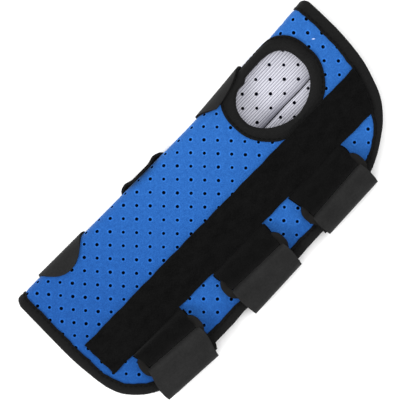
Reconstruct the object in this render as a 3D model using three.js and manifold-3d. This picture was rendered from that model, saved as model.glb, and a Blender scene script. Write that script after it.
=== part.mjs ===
import * as THREE from 'three';
import Module from 'manifold-3d';

// A wrist brace lying on its back: one padded sheet folded along a long side, bound with tape all round,
// with a bound thumb hole, a pile strip along the front and three straps turned round slotted rings.
// Millimetres. "x" runs from the forearm end to the hand end, "across" from the fold to the open edge.

// Sheet
const ACROSS = 102.6;
const SHELL_THICK = 2.2;
const LINING_THICK = 0.8;
const GAP = 0.3;
const WALL = SHELL_THICK + GAP + LINING_THICK;
const FOLD_RADIUS = 6.2;
const FOLD_LIFT = THREE.MathUtils.degToRad(13);
const FOLD_TUCK = 3.6;
const EDGE_DROP = 0.27;
const FRONT_EDGE_Z = 13.7;
const BACK_Z = 1.7;
const BACK_EDGE_Z = 4.5;
const BACK_RISE_FROM = 62;
const BACK_RISE_TO = 95;

// Where both ends of the sheet lie at each distance from the fold, seen from above
const END_EDGES = [
  { across: 0.0, forearm: 1.2, hand: 253.8 },
  { across: 26.0, forearm: 0.6, hand: 253.8 },
  { across: 41.0, forearm: 0.0, hand: 252.2 },
  { across: 52.0, forearm: 0.0, hand: 249.8 },
  { across: 62.0, forearm: 0.9, hand: 246.0 },
  { across: 70.0, forearm: 1.9, hand: 242.4 },
  { across: 77.0, forearm: 3.6, hand: 237.8 },
  { across: 84.0, forearm: 7.0, hand: 231.2 },
  { across: 90.3, forearm: 12.6, hand: 222.4 },
  { across: 95.5, forearm: 18.4, hand: 213.5 },
  { across: 99.4, forearm: 25.6, hand: 203.0 },
  { across: 101.8, forearm: 33.8, hand: 187.0 },
  { across: 102.6, forearm: 42.0, hand: 160.0 },
];
const LENGTH_STEPS = 12;
const FOLD_STEPS = 8;

// The fold line bows in at the waist and out towards both ends
const WAIST_X = 138;
const WAIST_IN = 0.6;
const BOW_FOREARM = 1.5;
const BOW_FOREARM_REACH = 123;
const BOW_HAND = 3.6;
const BOW_HAND_REACH = 105;
const BOW_FADE = 70;

// Crease of the lining on the back panel
const CREASE_AT = 34.5;
const CREASE_FROM = 12;
const CREASE_LIFT = 1.8;

// Binding tapes
const TAPE_THICK = 0.8;
const EDGE_TAPE = 7.0;
const THUMB_TAPE = 7.5;
const THUMB_GAP = 0.4;

// Thumb hole: the bound opening
const THUMB_X = 200;
const THUMB_HALF_LONG = 24.75;
const THUMB_NEAR = 4.8;
const THUMB_FAR = 43.5;
const THUMB_ROUND = 2.15;
const THUMB_STEPS = 36;

// Pile strip
const STRIP_FROM = 47.6;
const STRIP_TO = 72.5;
const STRIP_X = 12;
const STRIP_THICK = 2.5;
const STRIP_STEPS = 4;

// Rings, lying level above the front panel
const RING_LONG = 50;
const RING_SHORT = 17;
const RING_THICK = 2.8;
const RING_ROUND = 8;
const SLOT_LONG = 43.4;
const SLOT_SHORT = 8;
const SLOT_ROUND = 2.5;
const RING_HEIGHT = 4.6;
const RING_BEVEL = 0.5;

// Tabs
const TAB_THICK = 1.2;
const TAB_ROOT = 7;
const TAB_ROOT_THICK = 1.0;
const TAB_TOP = 7.7;
const TAB_NOSE_GAP = 0.9;
const TAB_HALF_AT_RING = 20.4;

// Straps
const STRAP_WIDE = 41;
const STRAP_THICK = 1.4;
const STRAP_SEWN_AT = 82;
const STRAP_UNDER = 2.2;
const STRAP_OVER = 7.1;
const TIP_RADIUS = STRAP_WIDE / 2;
const TIP_BLUNT = 3;

// One row a strap: where it turns round its ring, how far it stands out past the open edge, the slant of
// both, where it meets the fold, how far it stands off the fold, and how it ends: the angle round the fold,
// and a straight length that lies on the front (flat) or stands beside the fold (upright)
const STRAPS = [
  { name: 'forearm', x: 46.8, ring: 86.7, ringSlant: 0.086, edge: 107.9, edgeSlant: 0.068, tabHalf: 19.8,
    foldX: 40.8, standOff: 0, tipAngle: 103, tipRun: 6.2, tipLies: 'flat' },
  { name: 'wrist', x: 117.3, ring: 89.4, ringSlant: 0.029, edge: 107.4, edgeSlant: -0.029, tabHalf: 20.7,
    foldX: 110.4, standOff: 1.1, tipAngle: 180, tipRun: 8.0, tipLies: 'upright' },
  { name: 'palm', x: 183.3, ring: 92.1, ringSlant: -0.042, edge: 106.3, edgeSlant: -0.036, tabHalf: 21.9,
    foldX: 176.4, standOff: 1.3, tipAngle: 98, tipRun: 0, tipLies: 'flat' },
];

const wasm = await Module();
wasm.setup();

function ease(from, to, value) {
  return THREE.MathUtils.smoothstep(value, from, to);
}

function bow(x) {
  const hand = x > WAIST_X;
  const depth = hand ? BOW_HAND : BOW_FOREARM;
  const reach = hand ? BOW_HAND_REACH : BOW_FOREARM_REACH;
  return WAIST_IN - depth * ((x - WAIST_X) / reach) ** 2;
}

function place(x, across, z) {
  const share = THREE.MathUtils.clamp(1 - across / BOW_FADE, 0, 1);
  return new THREE.Vector3(x, -(across + bow(x) * share), z);
}

// The sheet's outer face as one line across, "run" along it: negative on the front, zero at the fold
const FOLD_Z = BACK_Z + FOLD_RADIUS;
const FOLD_ARC = FOLD_RADIUS * (Math.PI - FOLD_LIFT);
const FRONT_START = FOLD_RADIUS * (1 - Math.sin(FOLD_LIFT));
const FRONT_START_Z = FOLD_Z + FOLD_RADIUS * Math.cos(FOLD_LIFT);

function frontRun(across) {
  return -(FOLD_ARC / 2 + across - FRONT_START);
}

function backRun(across) {
  return FOLD_ARC / 2 + across - FOLD_RADIUS;
}

function frontLine(across) {
  const reach = ACROSS - FRONT_START;
  const s = (across - FRONT_START) / reach;
  const rise = Math.tan(FOLD_LIFT) * reach;
  const drop = -EDGE_DROP * reach;
  const z = FRONT_START_Z * (1 + s * s * (2 * s - 3)) + FRONT_EDGE_Z * s * s * (3 - 2 * s)
    + rise * s * (1 - s) ** 2 + drop * s * s * (s - 1);
  const climb = (FRONT_EDGE_Z - FRONT_START_Z) * 6 * s * (1 - s)
    + rise * (1 - s) * (1 - 3 * s) + drop * s * (3 * s - 2);
  return { z, slope: climb / reach };
}

function backLine(across) {
  const step = 0.01;
  const at = (a) => BACK_Z + (BACK_EDGE_Z - BACK_Z) * ease(BACK_RISE_FROM, BACK_RISE_TO, a);
  return { z: at(across), slope: (at(across + step) - at(across - step)) / (2 * step) };
}

function section(run) {
  if (run < -FOLD_ARC / 2) {
    const across = FRONT_START - FOLD_ARC / 2 - run;
    const line = frontLine(across);
    const size = Math.hypot(1, line.slope);
    return { across, z: line.z, outAcross: -line.slope / size, outZ: 1 / size };
  }
  if (run > FOLD_ARC / 2) {
    const across = FOLD_RADIUS + run - FOLD_ARC / 2;
    const line = backLine(across);
    const size = Math.hypot(1, line.slope);
    return { across, z: line.z, outAcross: line.slope / size, outZ: -1 / size };
  }
  const angle = Math.PI / 2 + FOLD_LIFT + (run + FOLD_ARC / 2) / FOLD_RADIUS;
  return {
    across: FOLD_RADIUS * (1 + Math.cos(angle)),
    z: FOLD_Z + FOLD_RADIUS * Math.sin(angle),
    outAcross: Math.cos(angle),
    outZ: Math.sin(angle),
  };
}

function onSheet(x, run, depth) {
  const at = section(run);
  return place(x, at.across - depth * at.outAcross, at.z - depth * at.outZ);
}

function aboveFront(across, height) {
  const at = section(frontRun(across));
  return new THREE.Vector2(at.across + height * at.outAcross, at.z + height * at.outZ);
}

// Closed solids
function closed(points, triangles) {
  let volume = 0;
  for (const [a, b, c] of triangles) {
    volume += points[a].dot(new THREE.Vector3().crossVectors(points[b], points[c]));
  }
  const turned = volume < 0 ? triangles.map(([a, b, c]) => [a, c, b]) : triangles;
  const geometry = new THREE.BufferGeometry();
  geometry.setAttribute('position', new THREE.Float32BufferAttribute(points.flatMap((p) => p.toArray()), 3));
  geometry.setIndex(turned.flat());
  return geometry;
}

// A patch of the sheet between two depths, over a grid of [x, run] points
function patch(grid, outerDepth, innerDepth) {
  const rows = grid.length;
  const columns = grid[0].length;
  const points = [];
  for (const depth of [outerDepth, innerDepth]) {
    for (const row of grid) {
      for (const [x, run] of row) {
        points.push(onSheet(x, run, depth(x, run)));
      }
    }
  }
  const id = (side, k, i) => (side * rows + k) * columns + i;
  const triangles = [];
  const quad = (a, b, c, d) => triangles.push([a, b, c], [a, c, d]);
  for (let k = 0; k + 1 < rows; k += 1) {
    for (let i = 0; i + 1 < columns; i += 1) {
      quad(id(0, k, i), id(0, k, i + 1), id(0, k + 1, i + 1), id(0, k + 1, i));
      quad(id(1, k, i), id(1, k + 1, i), id(1, k + 1, i + 1), id(1, k, i + 1));
    }
    const last = columns - 1;
    quad(id(0, k, 0), id(0, k + 1, 0), id(1, k + 1, 0), id(1, k, 0));
    quad(id(0, k, last), id(1, k, last), id(1, k + 1, last), id(0, k + 1, last));
  }
  for (let i = 0; i + 1 < columns; i += 1) {
    const last = rows - 1;
    quad(id(0, 0, i), id(1, 0, i), id(1, 0, i + 1), id(0, 0, i + 1));
    quad(id(0, last, i), id(0, last, i + 1), id(1, last, i + 1), id(1, last, i));
  }
  return closed(points, triangles);
}

// Rings of points joined one to the next; a closed loop has no caps
function loft(rings, loops) {
  const size = rings[0].length;
  const triangles = [];
  const steps = loops ? rings.length : rings.length - 1;
  for (let j = 0; j < steps; j += 1) {
    const next = (j + 1) % rings.length;
    for (let c = 0; c < size; c += 1) {
      const d = (c + 1) % size;
      triangles.push([j * size + c, j * size + d, next * size + d]);
      triangles.push([j * size + c, next * size + d, next * size + c]);
    }
  }
  if (!loops) {
    const end = (rings.length - 1) * size;
    for (let c = 1; c + 1 < size; c += 1) {
      triangles.push([0, c + 1, c], [end, end + c, end + c + 1]);
    }
  }
  return closed(rings.flat(), triangles);
}

function asManifold(geometry) {
  return new wasm.Manifold(new wasm.Mesh({
    numProp: 3,
    vertProperties: new Float32Array(geometry.attributes.position.array),
    triVerts: new Uint32Array(geometry.index.array),
  }));
}

function cut(geometry, cutters) {
  let body = asManifold(geometry);
  for (const cutter of cutters) {
    body = body.subtract(asManifold(cutter));
  }
  const mesh = body.getMesh();
  const result = new THREE.BufferGeometry();
  result.setAttribute('position', new THREE.Float32BufferAttribute(mesh.vertProperties, 3));
  result.setIndex([...mesh.triVerts]);
  return result;
}

// Outline of the sheet, laid flat as [x, run], and the same outline drawn in by a distance
function endAt(column, across) {
  const next = Math.max(1, END_EDGES.findIndex((row) => row.across >= across - 1e-6));
  const a = END_EDGES[next - 1];
  const b = END_EDGES[next];
  return a[column] + (b[column] - a[column]) * (across - a.across) / (b.across - a.across);
}

function endsAt(run) {
  const across = Math.abs(run) < FOLD_ARC / 2 ? 0 : section(run).across;
  return { forearm: endAt('forearm', across), hand: endAt('hand', across) };
}

// Both ends draw in a little where the sheet turns round the fold
function tuck(run) {
  return Math.abs(run) < FOLD_ARC / 2 ? FOLD_TUCK * Math.cos(Math.PI * run / FOLD_ARC) ** 2 : 0;
}

const stations = [];
const openRows = END_EDGES.map((row) => row.across).filter((across) => across > FOLD_RADIUS);
stations.push(...[...openRows].reverse().map(frontRun), frontRun(14));
for (let k = 0; k <= FOLD_STEPS; k += 1) {
  stations.push(FOLD_ARC * (k / FOLD_STEPS - 0.5));
}
stations.push(backRun(14), ...openRows.map(backRun));

const outline = stations.map((run) => [endsAt(run).forearm, run]);
const hands = stations.map((run) => [endsAt(run).hand, run]);
const between = (a, b) => {
  const inside = [];
  for (let i = 1; i < LENGTH_STEPS; i += 1) {
    inside.push([a[0] + (b[0] - a[0]) * i / LENGTH_STEPS, a[1]]);
  }
  return inside;
};
const lastRow = stations.length - 1;
outline.push(...between(outline[lastRow], hands[lastRow]), ...[...hands].reverse());
outline.push(...between(hands[0], outline[0]));

// Every loop point with the direction from the edge into the cloth, in the flat
function withInward(loop) {
  return loop.map(([x, run], i) => {
    const before = loop[(i + loop.length - 1) % loop.length];
    const after = loop[(i + 1) % loop.length];
    const size = Math.hypot(after[0] - before[0], after[1] - before[1]);
    return { x, run, inX: (after[1] - before[1]) / size, inRun: (before[0] - after[0]) / size };
  });
}

const edgeLoop = withInward(outline).map((p) => ({ ...p, x: p.x + tuck(p.run) * Math.sign(p.inX) }));

function drawnIn(distance) {
  return edgeLoop.map((p) => [p.x + distance * p.inX, p.run + distance * p.inRun]);
}

function sheetGrid(distance) {
  const loop = drawnIn(distance);
  const top = stations.length + LENGTH_STEPS - 1;
  return stations.map((run, k) => {
    const low = loop[k];
    const high = loop[top + lastRow - k];
    const row = [];
    for (let i = 0; i <= LENGTH_STEPS; i += 1) {
      const share = i / LENGTH_STEPS;
      row.push([low[0] + (high[0] - low[0]) * share, low[1] + (high[1] - low[1]) * share]);
    }
    return row;
  });
}

// Thumb hole outline, larger by a distance
const THUMB_RUN = (frontRun(THUMB_NEAR) + frontRun(THUMB_FAR)) / 2;
const THUMB_HALF_WIDE = (THUMB_FAR - THUMB_NEAR) / 2;
const thumbLoop = [];
for (let i = 0; i < THUMB_STEPS; i += 1) {
  const angle = 2 * Math.PI * i / THUMB_STEPS;
  const rounded = (value) => Math.sign(value) * Math.abs(value) ** (2 / THUMB_ROUND);
  thumbLoop.push([
    THUMB_X + THUMB_HALF_LONG * rounded(Math.cos(angle)),
    THUMB_RUN + THUMB_HALF_WIDE * rounded(Math.sin(angle)),
  ]);
}
const thumbEdge = withInward(thumbLoop);

function thumbCutter() {
  const clear = TAPE_THICK + GAP;
  const rings = [-2, WALL + 2].map((depth) => thumbEdge.map(
    (p) => onSheet(p.x + clear * p.inX, p.run + clear * p.inRun, depth)));
  const points = [...rings.flat(), onSheet(THUMB_X, THUMB_RUN, -2), onSheet(THUMB_X, THUMB_RUN, WALL + 2)];
  const n = THUMB_STEPS;
  const triangles = [];
  for (let i = 0; i < n; i += 1) {
    const j = (i + 1) % n;
    triangles.push([i, j, n + j], [i, n + j, n + i], [i, 2 * n, j], [n + i, n + j, 2 * n + 1]);
  }
  return closed(points, triangles);
}

// Binding: a tape folded over an edge, swept round a loop; its legs bend with the sheet in steps, and the
// outer one can be held short
function legSteps(leg, steps, from) {
  const into = [];
  for (let k = steps; k >= 1; k -= 1) {
    into.push(from + (leg - from) * k / steps);
  }
  return into;
}

function binding(loop, leg, outerLeg, steps, gap) {
  const out = -gap;
  const under = WALL + gap;
  const rings = loop.map((p) => {
    const outer = legSteps(outerLeg(p), steps, TAPE_THICK);
    const inner = legSteps(leg, steps, TAPE_THICK);
    const profile = [
      ...outer.map((into) => [into, out]),
      [TAPE_THICK, out],
      [TAPE_THICK, under],
      ...[...inner].reverse().map((into) => [into, under]),
      ...inner.map((into) => [into, under + TAPE_THICK]),
      [0.7, under + TAPE_THICK],
      [0, under - 0.4],
      [0, out + 0.4],
      [0.7, out - TAPE_THICK],
      ...[...outer].reverse().map((into) => [into, out - TAPE_THICK]),
    ];
    return profile.map(([into, depth]) => onSheet(p.x + into * p.inX, p.run + into * p.inRun, depth));
  });
  return loft(rings, true);
}

function thumbLeg(p) {
  const room = p.run - frontRun(STRIP_FROM - GAP);
  return p.inRun < 0 ? Math.min(THUMB_TAPE, room / -p.inRun) : THUMB_TAPE;
}

// The lining stands off the back panel on the fold's side of its crease
function liningLift(x, run) {
  const across = section(run).across;
  if (run < 0 || across > CREASE_AT) {
    return 0;
  }
  const rise = ease(CREASE_FROM, CREASE_AT - 5, across) * (1 - ease(CREASE_AT - 4, CREASE_AT, across));
  return CREASE_LIFT * rise * ease(110, 165, x) * (1 - ease(222, 243, x));
}

// Strip: follows the hand end's binding, with a shallow pocket for the root of each tab
function stripGrid() {
  const edge = drawnIn(EDGE_TAPE + GAP);
  const grid = [];
  for (let k = 0; k <= STRIP_STEPS; k += 1) {
    const across = STRIP_FROM + (STRIP_TO - STRIP_FROM) * k / STRIP_STEPS;
    const run = frontRun(across);
    const high = edge.filter((p) => p[0] > WAIST_X && p[1] < 0).sort((a, b) => a[1] - b[1]);
    const next = high.findIndex((p) => p[1] > run);
    const share = (run - high[next - 1][1]) / (high[next][1] - high[next - 1][1]);
    const end = high[next - 1][0] + (high[next][0] - high[next - 1][0]) * share;
    const row = [];
    for (let i = 0; i <= LENGTH_STEPS; i += 1) {
      row.push([STRIP_X + (end - STRIP_X) * i / LENGTH_STEPS, run]);
    }
    grid.push(row);
  }
  return grid;
}

function tabPocket(strap) {
  const half = strap.tabHalf + GAP;
  const grid = [STRIP_TO - TAB_ROOT - GAP, STRIP_TO + 2].map(
    (across) => [[strap.x - half, frontRun(across)], [strap.x + half, frontRun(across)]]);
  return patch(grid, () => -(TAB_ROOT_THICK + 2 * GAP), () => 1);
}

// A line through corners, each corner rounded by its own radius
function rounded(corners, steps) {
  const path = new THREE.Path();
  corners.forEach(({ at, r }, i) => {
    if (i === 0) {
      path.moveTo(at.x, at.y);
    } else if (i === corners.length - 1 || !r) {
      path.lineTo(at.x, at.y);
    } else {
      const from = corners[i - 1].at.clone().sub(at).normalize().multiplyScalar(r).add(at);
      const to = corners[i + 1].at.clone().sub(at).normalize().multiplyScalar(r).add(at);
      path.lineTo(from.x, from.y);
      path.quadraticCurveTo(at.x, at.y, to.x, to.y);
    }
  });
  return path.getPoints(steps);
}

// Extra points on long straight stretches, so that they follow the panel
function split(points, longest) {
  return points.flatMap((p, i) => {
    const next = points[(i + 1) % points.length];
    const parts = Math.max(1, Math.ceil(p.distanceTo(next) / longest));
    const run = [];
    for (let k = 0; k < parts; k += 1) {
      run.push(p.clone().lerp(next, k / parts));
    }
    return run;
  });
}

// Tab: a band sewn under the strip's edge and looped round the near bar of its ring
function tab(strap) {
  const nose = strap.ring - TAB_NOSE_GAP;
  const near = strap.ring - 11.6;
  const v = (x, y) => new THREE.Vector2(x, y);
  const root = STRIP_TO - TAB_ROOT;
  const outer = rounded([
    { at: v(root, GAP) },
    { at: v(nose, GAP), r: 3.4 },
    { at: v(nose, TAB_TOP), r: 3.4 },
    { at: v(near, TAB_TOP), r: 1.2 },
    { at: v(STRIP_TO + 0.8, GAP + TAB_ROOT_THICK) },
    { at: v(root, GAP + TAB_ROOT_THICK) },
  ], 4);
  const low = GAP + TAB_THICK;
  const high = TAB_TOP - TAB_THICK;
  const inner = rounded([
    { at: v(near - 0.6, low) },
    { at: v(nose - TAB_THICK, low), r: 2.3 },
    { at: v(nose - TAB_THICK, high), r: 2.3 },
    { at: v(near + 0.4, high), r: 0.4 },
    { at: v(near - 0.6, low + 0.4) },
  ], 4);
  const shape = new THREE.Shape(split(outer, 6));
  shape.holes.push(new THREE.Path(split(inner, 6)));
  const geometry = new THREE.ExtrudeGeometry(shape, { depth: 2, steps: 1, bevelEnabled: false });
  const position = geometry.attributes.position;
  for (let i = 0; i < position.count; i += 1) {
    const across = position.getX(i);
    const side = 1 - position.getZ(i);
    const share = ease(STRIP_TO, near, across);
    const half = strap.tabHalf + (TAB_HALF_AT_RING - strap.tabHalf) * share;
    const at = aboveFront(across, position.getY(i));
    const p = place(strap.x + side * half, at.x + strap.ringSlant * share * side * half, at.y);
    position.setXYZ(i, p.x, p.y, p.z);
  }
  return geometry;
}

// Ring: a flat oval with a slot for the strap
function roundedOval(long, short, radius) {
  const a = long / 2;
  const b = short / 2;
  const path = new THREE.Shape();
  path.moveTo(a - radius, -b);
  path.absarc(a - radius, -b + radius, radius, -Math.PI / 2, 0);
  path.absarc(a - radius, b - radius, radius, 0, Math.PI / 2);
  path.absarc(-a + radius, b - radius, radius, Math.PI / 2, Math.PI);
  path.absarc(-a + radius, -b + radius, radius, Math.PI, 1.5 * Math.PI);
  return path;
}

function ring(strap) {
  const shape = roundedOval(RING_LONG, RING_SHORT, RING_ROUND);
  shape.holes.push(roundedOval(SLOT_LONG, SLOT_SHORT, SLOT_ROUND));
  const geometry = new THREE.ExtrudeGeometry(shape, {
    depth: RING_THICK - 2 * RING_BEVEL,
    bevelThickness: RING_BEVEL,
    bevelSize: RING_BEVEL,
    bevelOffset: -RING_BEVEL,
    bevelSegments: 1,
    curveSegments: 4,
  });
  geometry.translate(0, 0, RING_BEVEL - RING_THICK / 2);
  const middle = strap.ring - 1.5;
  const slope = frontLine(middle).slope;
  const centre = aboveFront(middle, RING_HEIGHT);
  const long = new THREE.Vector3(1, -strap.ringSlant, 0).normalize();
  const up = new THREE.Vector3(0, slope, 1).normalize();
  const wide = new THREE.Vector3().crossVectors(up, long).normalize();
  up.crossVectors(long, wide);
  const frame = new THREE.Matrix4().makeBasis(long, wide, up);
  frame.setPosition(place(strap.x, centre.x, centre.y));
  geometry.applyMatrix4(frame);
  return geometry;
}

// Strap: sewn under the back edge, up round the open edge, through the ring and back over itself, then
// under the whole back and up round the fold to a rounded tip
function strapLine(strap) {
  const half = STRAP_THICK / 2;
  const v = (x, y) => new THREE.Vector2(x, y);
  const sewn = BACK_EDGE_Z - GAP * 2 - TAPE_THICK - half;
  const close = ACROSS + GAP + half + 0.1;
  const out = strap.edge - half;
  const turn = strap.ring + half;
  const over = aboveFront(ACROSS, STRAP_UNDER);
  const line = rounded([
    { at: v(STRAP_SEWN_AT, sewn) },
    { at: v(close, sewn), r: 2 },
    { at: v(close, over.y), r: 2 },
    { at: aboveFront(ACROSS - EDGE_TAPE, STRAP_UNDER) },
    { at: aboveFront(turn, STRAP_UNDER), r: 2.4 },
    { at: aboveFront(turn, STRAP_OVER), r: 2.4 },
    { at: aboveFront(strap.ring + 8.2, STRAP_OVER), r: 3 },
    { at: v(out, over.y + 1.2), r: 4 },
    { at: v(out, half), r: 4.5 },
    { at: v(BACK_RISE_FROM, half) },
    { at: v(FOLD_RADIUS + 14, half) },
    { at: v(FOLD_RADIUS, half) },
  ], 4);
  const around = FOLD_RADIUS + GAP + half;
  const steps = Math.round((270 - strap.tipAngle) / 12);
  for (let k = 1; k <= steps; k += 1) {
    const degrees = 270 - (270 - strap.tipAngle) * k / steps;
    const radius = around + strap.standOff * (1 - ease(190, 265, degrees));
    const angle = THREE.MathUtils.degToRad(degrees);
    line.push(v(FOLD_RADIUS + radius * Math.cos(angle), FOLD_Z + radius * Math.sin(angle)));
  }
  if (strap.tipRun) {
    const from = line[line.length - 1];
    const flat = strap.tipLies === 'flat';
    line.push(flat ? aboveFront(from.x + strap.tipRun, GAP + half) : v(from.x, from.y + strap.tipRun));
  }
  return line;
}

// Extra points close to the tip, so that its end comes out round
function withTip(line) {
  const tip = line[line.length - 1];
  const before = line[line.length - 2];
  const reach = tip.distanceTo(before);
  const extra = [4.4, 2.6, 1.3, 0.4].filter((back) => back < reach - 0.3);
  const added = extra.map((back) => tip.clone().lerp(before, back / reach));
  return [...line.slice(0, -1), ...added, tip];
}

function strap(row) {
  const line = withTip(strapLine(row));
  const half = STRAP_THICK / 2;
  const out = row.edge - half;
  const bottom = line.findIndex((p, j) => j > 20 && Math.abs(p.y - half) < 1e-6);
  const front = line.slice(0, bottom);
  const turn = front.reduce((best, p, j) => (p.y > FOLD_Z && p.x < front[best].x ? j : best), bottom - 1);
  let left = line.slice(1).reduce((sum, p, j) => sum + p.distanceTo(line[j]), 0);
  const rings = line.map((p, j) => {
    const a = line[Math.max(j - 1, 0)];
    const b = line[Math.min(j + 1, line.length - 1)];
    const along = b.clone().sub(a).normalize();
    if (j > 0) {
      left -= p.distanceTo(a);
    }
    const short = THREE.MathUtils.clamp(TIP_RADIUS - left, 0, TIP_RADIUS);
    const wide = Math.max(Math.sqrt(TIP_RADIUS ** 2 - short ** 2), TIP_BLUNT);
    let slant = row.edgeSlant * ease(BACK_RISE_FROM, out, p.x);
    let x = row.x + (row.foldX - row.x) * THREE.MathUtils.clamp((out - p.x) / (out - FOLD_RADIUS), 0, 1);
    if (j <= turn) {
      slant = p.y > FOLD_Z ? row.ringSlant * (1 - ease(row.ring + 2, ACROSS - 2, p.x)) : 0;
      x = row.x;
    } else if (j < bottom) {
      slant = row.ringSlant + (row.edgeSlant - row.ringSlant) * ease(row.ring + 4, out, p.x);
      x = row.x;
    }
    return [[-1, -1], [1, -1], [1, 1], [-1, 1]].map(([side, face]) => place(
      x + side * wide,
      p.x - along.y * face * half + slant * side * wide,
      p.y + along.x * face * half,
    ));
  });
  return loft(rings, false);
}

// Assembly
const group = new THREE.Group();

function piece(name, geometry, color, roughness) {
  const material = new THREE.MeshStandardMaterial({ color, roughness, metalness: 0 });
  const mesh = new THREE.Mesh(geometry, material);
  mesh.name = name;
  group.add(mesh);
}

const BLUE = 0x2d6ecd;
const WHITE = 0xdcdce2;
const BLACK = 0x151515;
const PILE_BLACK = 0x121212;
const PLASTIC_BLACK = 0x1c1c1c;
const STRAP_GREY = 0x2e2e2e;

const sheetEdge = sheetGrid(TAPE_THICK + 2 * GAP);
const shellSolid = patch(sheetEdge, () => 0, () => SHELL_THICK);
const liningTop = SHELL_THICK + GAP;
const liningSolid = patch(
  sheetEdge,
  (x, run) => liningTop + liningLift(x, run),
  (x, run) => WALL + liningLift(x, run),
);
piece('shell', cut(shellSolid, [thumbCutter()]), BLUE, 0.85);
piece('lining', cut(liningSolid, [thumbCutter()]), WHITE, 0.9);
piece('edge_binding', binding(edgeLoop, EDGE_TAPE, () => EDGE_TAPE, 1, GAP), BLACK, 0.8);
piece('thumb_binding', binding(thumbEdge, THUMB_TAPE, thumbLeg, 3, THUMB_GAP), BLACK, 0.8);
const stripSolid = patch(stripGrid(), () => -(GAP + STRIP_THICK), () => -GAP);
piece('front_strip', cut(stripSolid, STRAPS.map(tabPocket)), PILE_BLACK, 0.95);
for (const row of STRAPS) {
  piece(`tab_${row.name}`, tab(row), PILE_BLACK, 0.95);
  piece(`ring_${row.name}`, ring(row), PLASTIC_BLACK, 0.45);
  piece(`strap_${row.name}`, strap(row), STRAP_GREY, 0.75);
}

// The frame's origin is under the middle of the whole brace
const box = new THREE.Box3().setFromObject(group);
const middle = box.getCenter(new THREE.Vector3());
for (const mesh of group.children) {
  mesh.geometry.translate(-middle.x, -middle.y, -box.min.z);
}

export default group;
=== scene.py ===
import math

import bpy
import numpy as np
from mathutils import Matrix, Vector


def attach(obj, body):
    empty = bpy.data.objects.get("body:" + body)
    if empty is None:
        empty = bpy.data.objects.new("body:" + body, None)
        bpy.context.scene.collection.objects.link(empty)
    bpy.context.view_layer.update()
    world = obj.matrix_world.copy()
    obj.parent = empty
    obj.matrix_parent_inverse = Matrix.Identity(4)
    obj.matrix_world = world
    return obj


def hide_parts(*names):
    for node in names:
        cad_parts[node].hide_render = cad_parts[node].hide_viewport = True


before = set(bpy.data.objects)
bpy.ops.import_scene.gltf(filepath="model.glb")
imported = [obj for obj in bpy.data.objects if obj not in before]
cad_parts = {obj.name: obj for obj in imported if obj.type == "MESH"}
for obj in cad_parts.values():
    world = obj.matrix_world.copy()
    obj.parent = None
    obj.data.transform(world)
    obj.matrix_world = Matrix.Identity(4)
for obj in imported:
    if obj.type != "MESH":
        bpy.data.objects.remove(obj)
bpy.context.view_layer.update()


# Shell: one panel of blue brushed fabric on thin foam, cut flat with rounded ends, punched all over with
# holes in staggered rows, and folded along its middle so that the two long edges lie over each other.
# It is shaped flat first: x along the arm, "run" across the sheet from the fold, "out" above its outer face.
MM = 0.001
ORIGIN_X = 126.9
ORIGIN_ACROSS = 52.39
SHELL_THICK = 2.2
SHEET_ACROSS = 102.6
FOLD_RADIUS = 6.2
FOLD_LIFT = math.radians(13)
FRONT_EDGE_Z = 13.7
FRONT_EDGE_DROP = 0.27
BACK_Z = 1.7
BACK_EDGE_Z = 4.5
BACK_RISE_FROM = 62
BACK_RISE_TO = 95
FOLD_Z = BACK_Z + FOLD_RADIUS
FOLD_ARC = FOLD_RADIUS * (math.pi - FOLD_LIFT)
HALF_ARC = FOLD_ARC / 2
FRONT_START = FOLD_RADIUS * (1 - math.sin(FOLD_LIFT))
FRONT_START_Z = FOLD_Z + FOLD_RADIUS * math.cos(FOLD_LIFT)

# Distance from the fold, then where the forearm end and the hand end lie there
END_EDGES = [
    (26.0, 1.1, 253.7), (41.0, 0.7, 252.3), (52.0, 0.8, 250.2), (62.0, 1.5, 246.7), (70.0, 2.3, 243.3),
    (77.0, 3.7, 238.6), (84.0, 6.6, 231.8), (90.3, 11.5, 223.1), (95.5, 17.4, 214.1), (99.4, 25.2, 202.9),
    (101.8, 33.8, 186.0), (102.6, 42.0, 160.0),
]
OPEN_EDGE_X = (70, 100, 130)
FOLD_END_FOREARM = 1.6
FOLD_END_HAND = 253.8
FOLD_TUCK = 1.8


def ease(low, high, value):
    share = np.clip((value - low) / (high - low), 0, 1)
    return share * share * (3 - 2 * share)


def hump(value, middle, spread):
    return np.exp(-((value - middle) / spread) ** 2)


# Each row is a wave's height, its length and where it begins
def waves(at, *rows):
    return sum(height * np.sin(at / length + begin) for height, length, begin in rows)


def front_run(across):
    return -(HALF_ARC + across - FRONT_START)


def back_run(across):
    return HALF_ARC + across - FOLD_RADIUS


def front_line(across):
    reach = SHEET_ACROSS - FRONT_START
    share = (across - FRONT_START) / reach
    rise = math.tan(FOLD_LIFT) * reach
    drop = -FRONT_EDGE_DROP * reach
    z = (FRONT_START_Z * (1 + share ** 2 * (2 * share - 3)) + FRONT_EDGE_Z * share ** 2 * (3 - 2 * share)
         + rise * share * (1 - share) ** 2 + drop * share ** 2 * (share - 1))
    climb = ((FRONT_EDGE_Z - FRONT_START_Z) * 6 * share * (1 - share)
             + rise * (1 - share) * (1 - 3 * share) + drop * share * (3 * share - 2))
    return z, climb / reach


def back_line(across):
    step = 0.01
    height = BACK_EDGE_Z - BACK_Z
    low = BACK_Z + height * ease(BACK_RISE_FROM, BACK_RISE_TO, across - step)
    high = BACK_Z + height * ease(BACK_RISE_FROM, BACK_RISE_TO, across + step)
    return (low + high) / 2, (high - low) / (2 * step)


WAIST_X = 138
WAIST_IN = 0.6
BOW_FOREARM = 1.5
BOW_FOREARM_REACH = 123
BOW_HAND = 3.6
BOW_HAND_REACH = 105
BOW_FADE = 70


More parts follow.
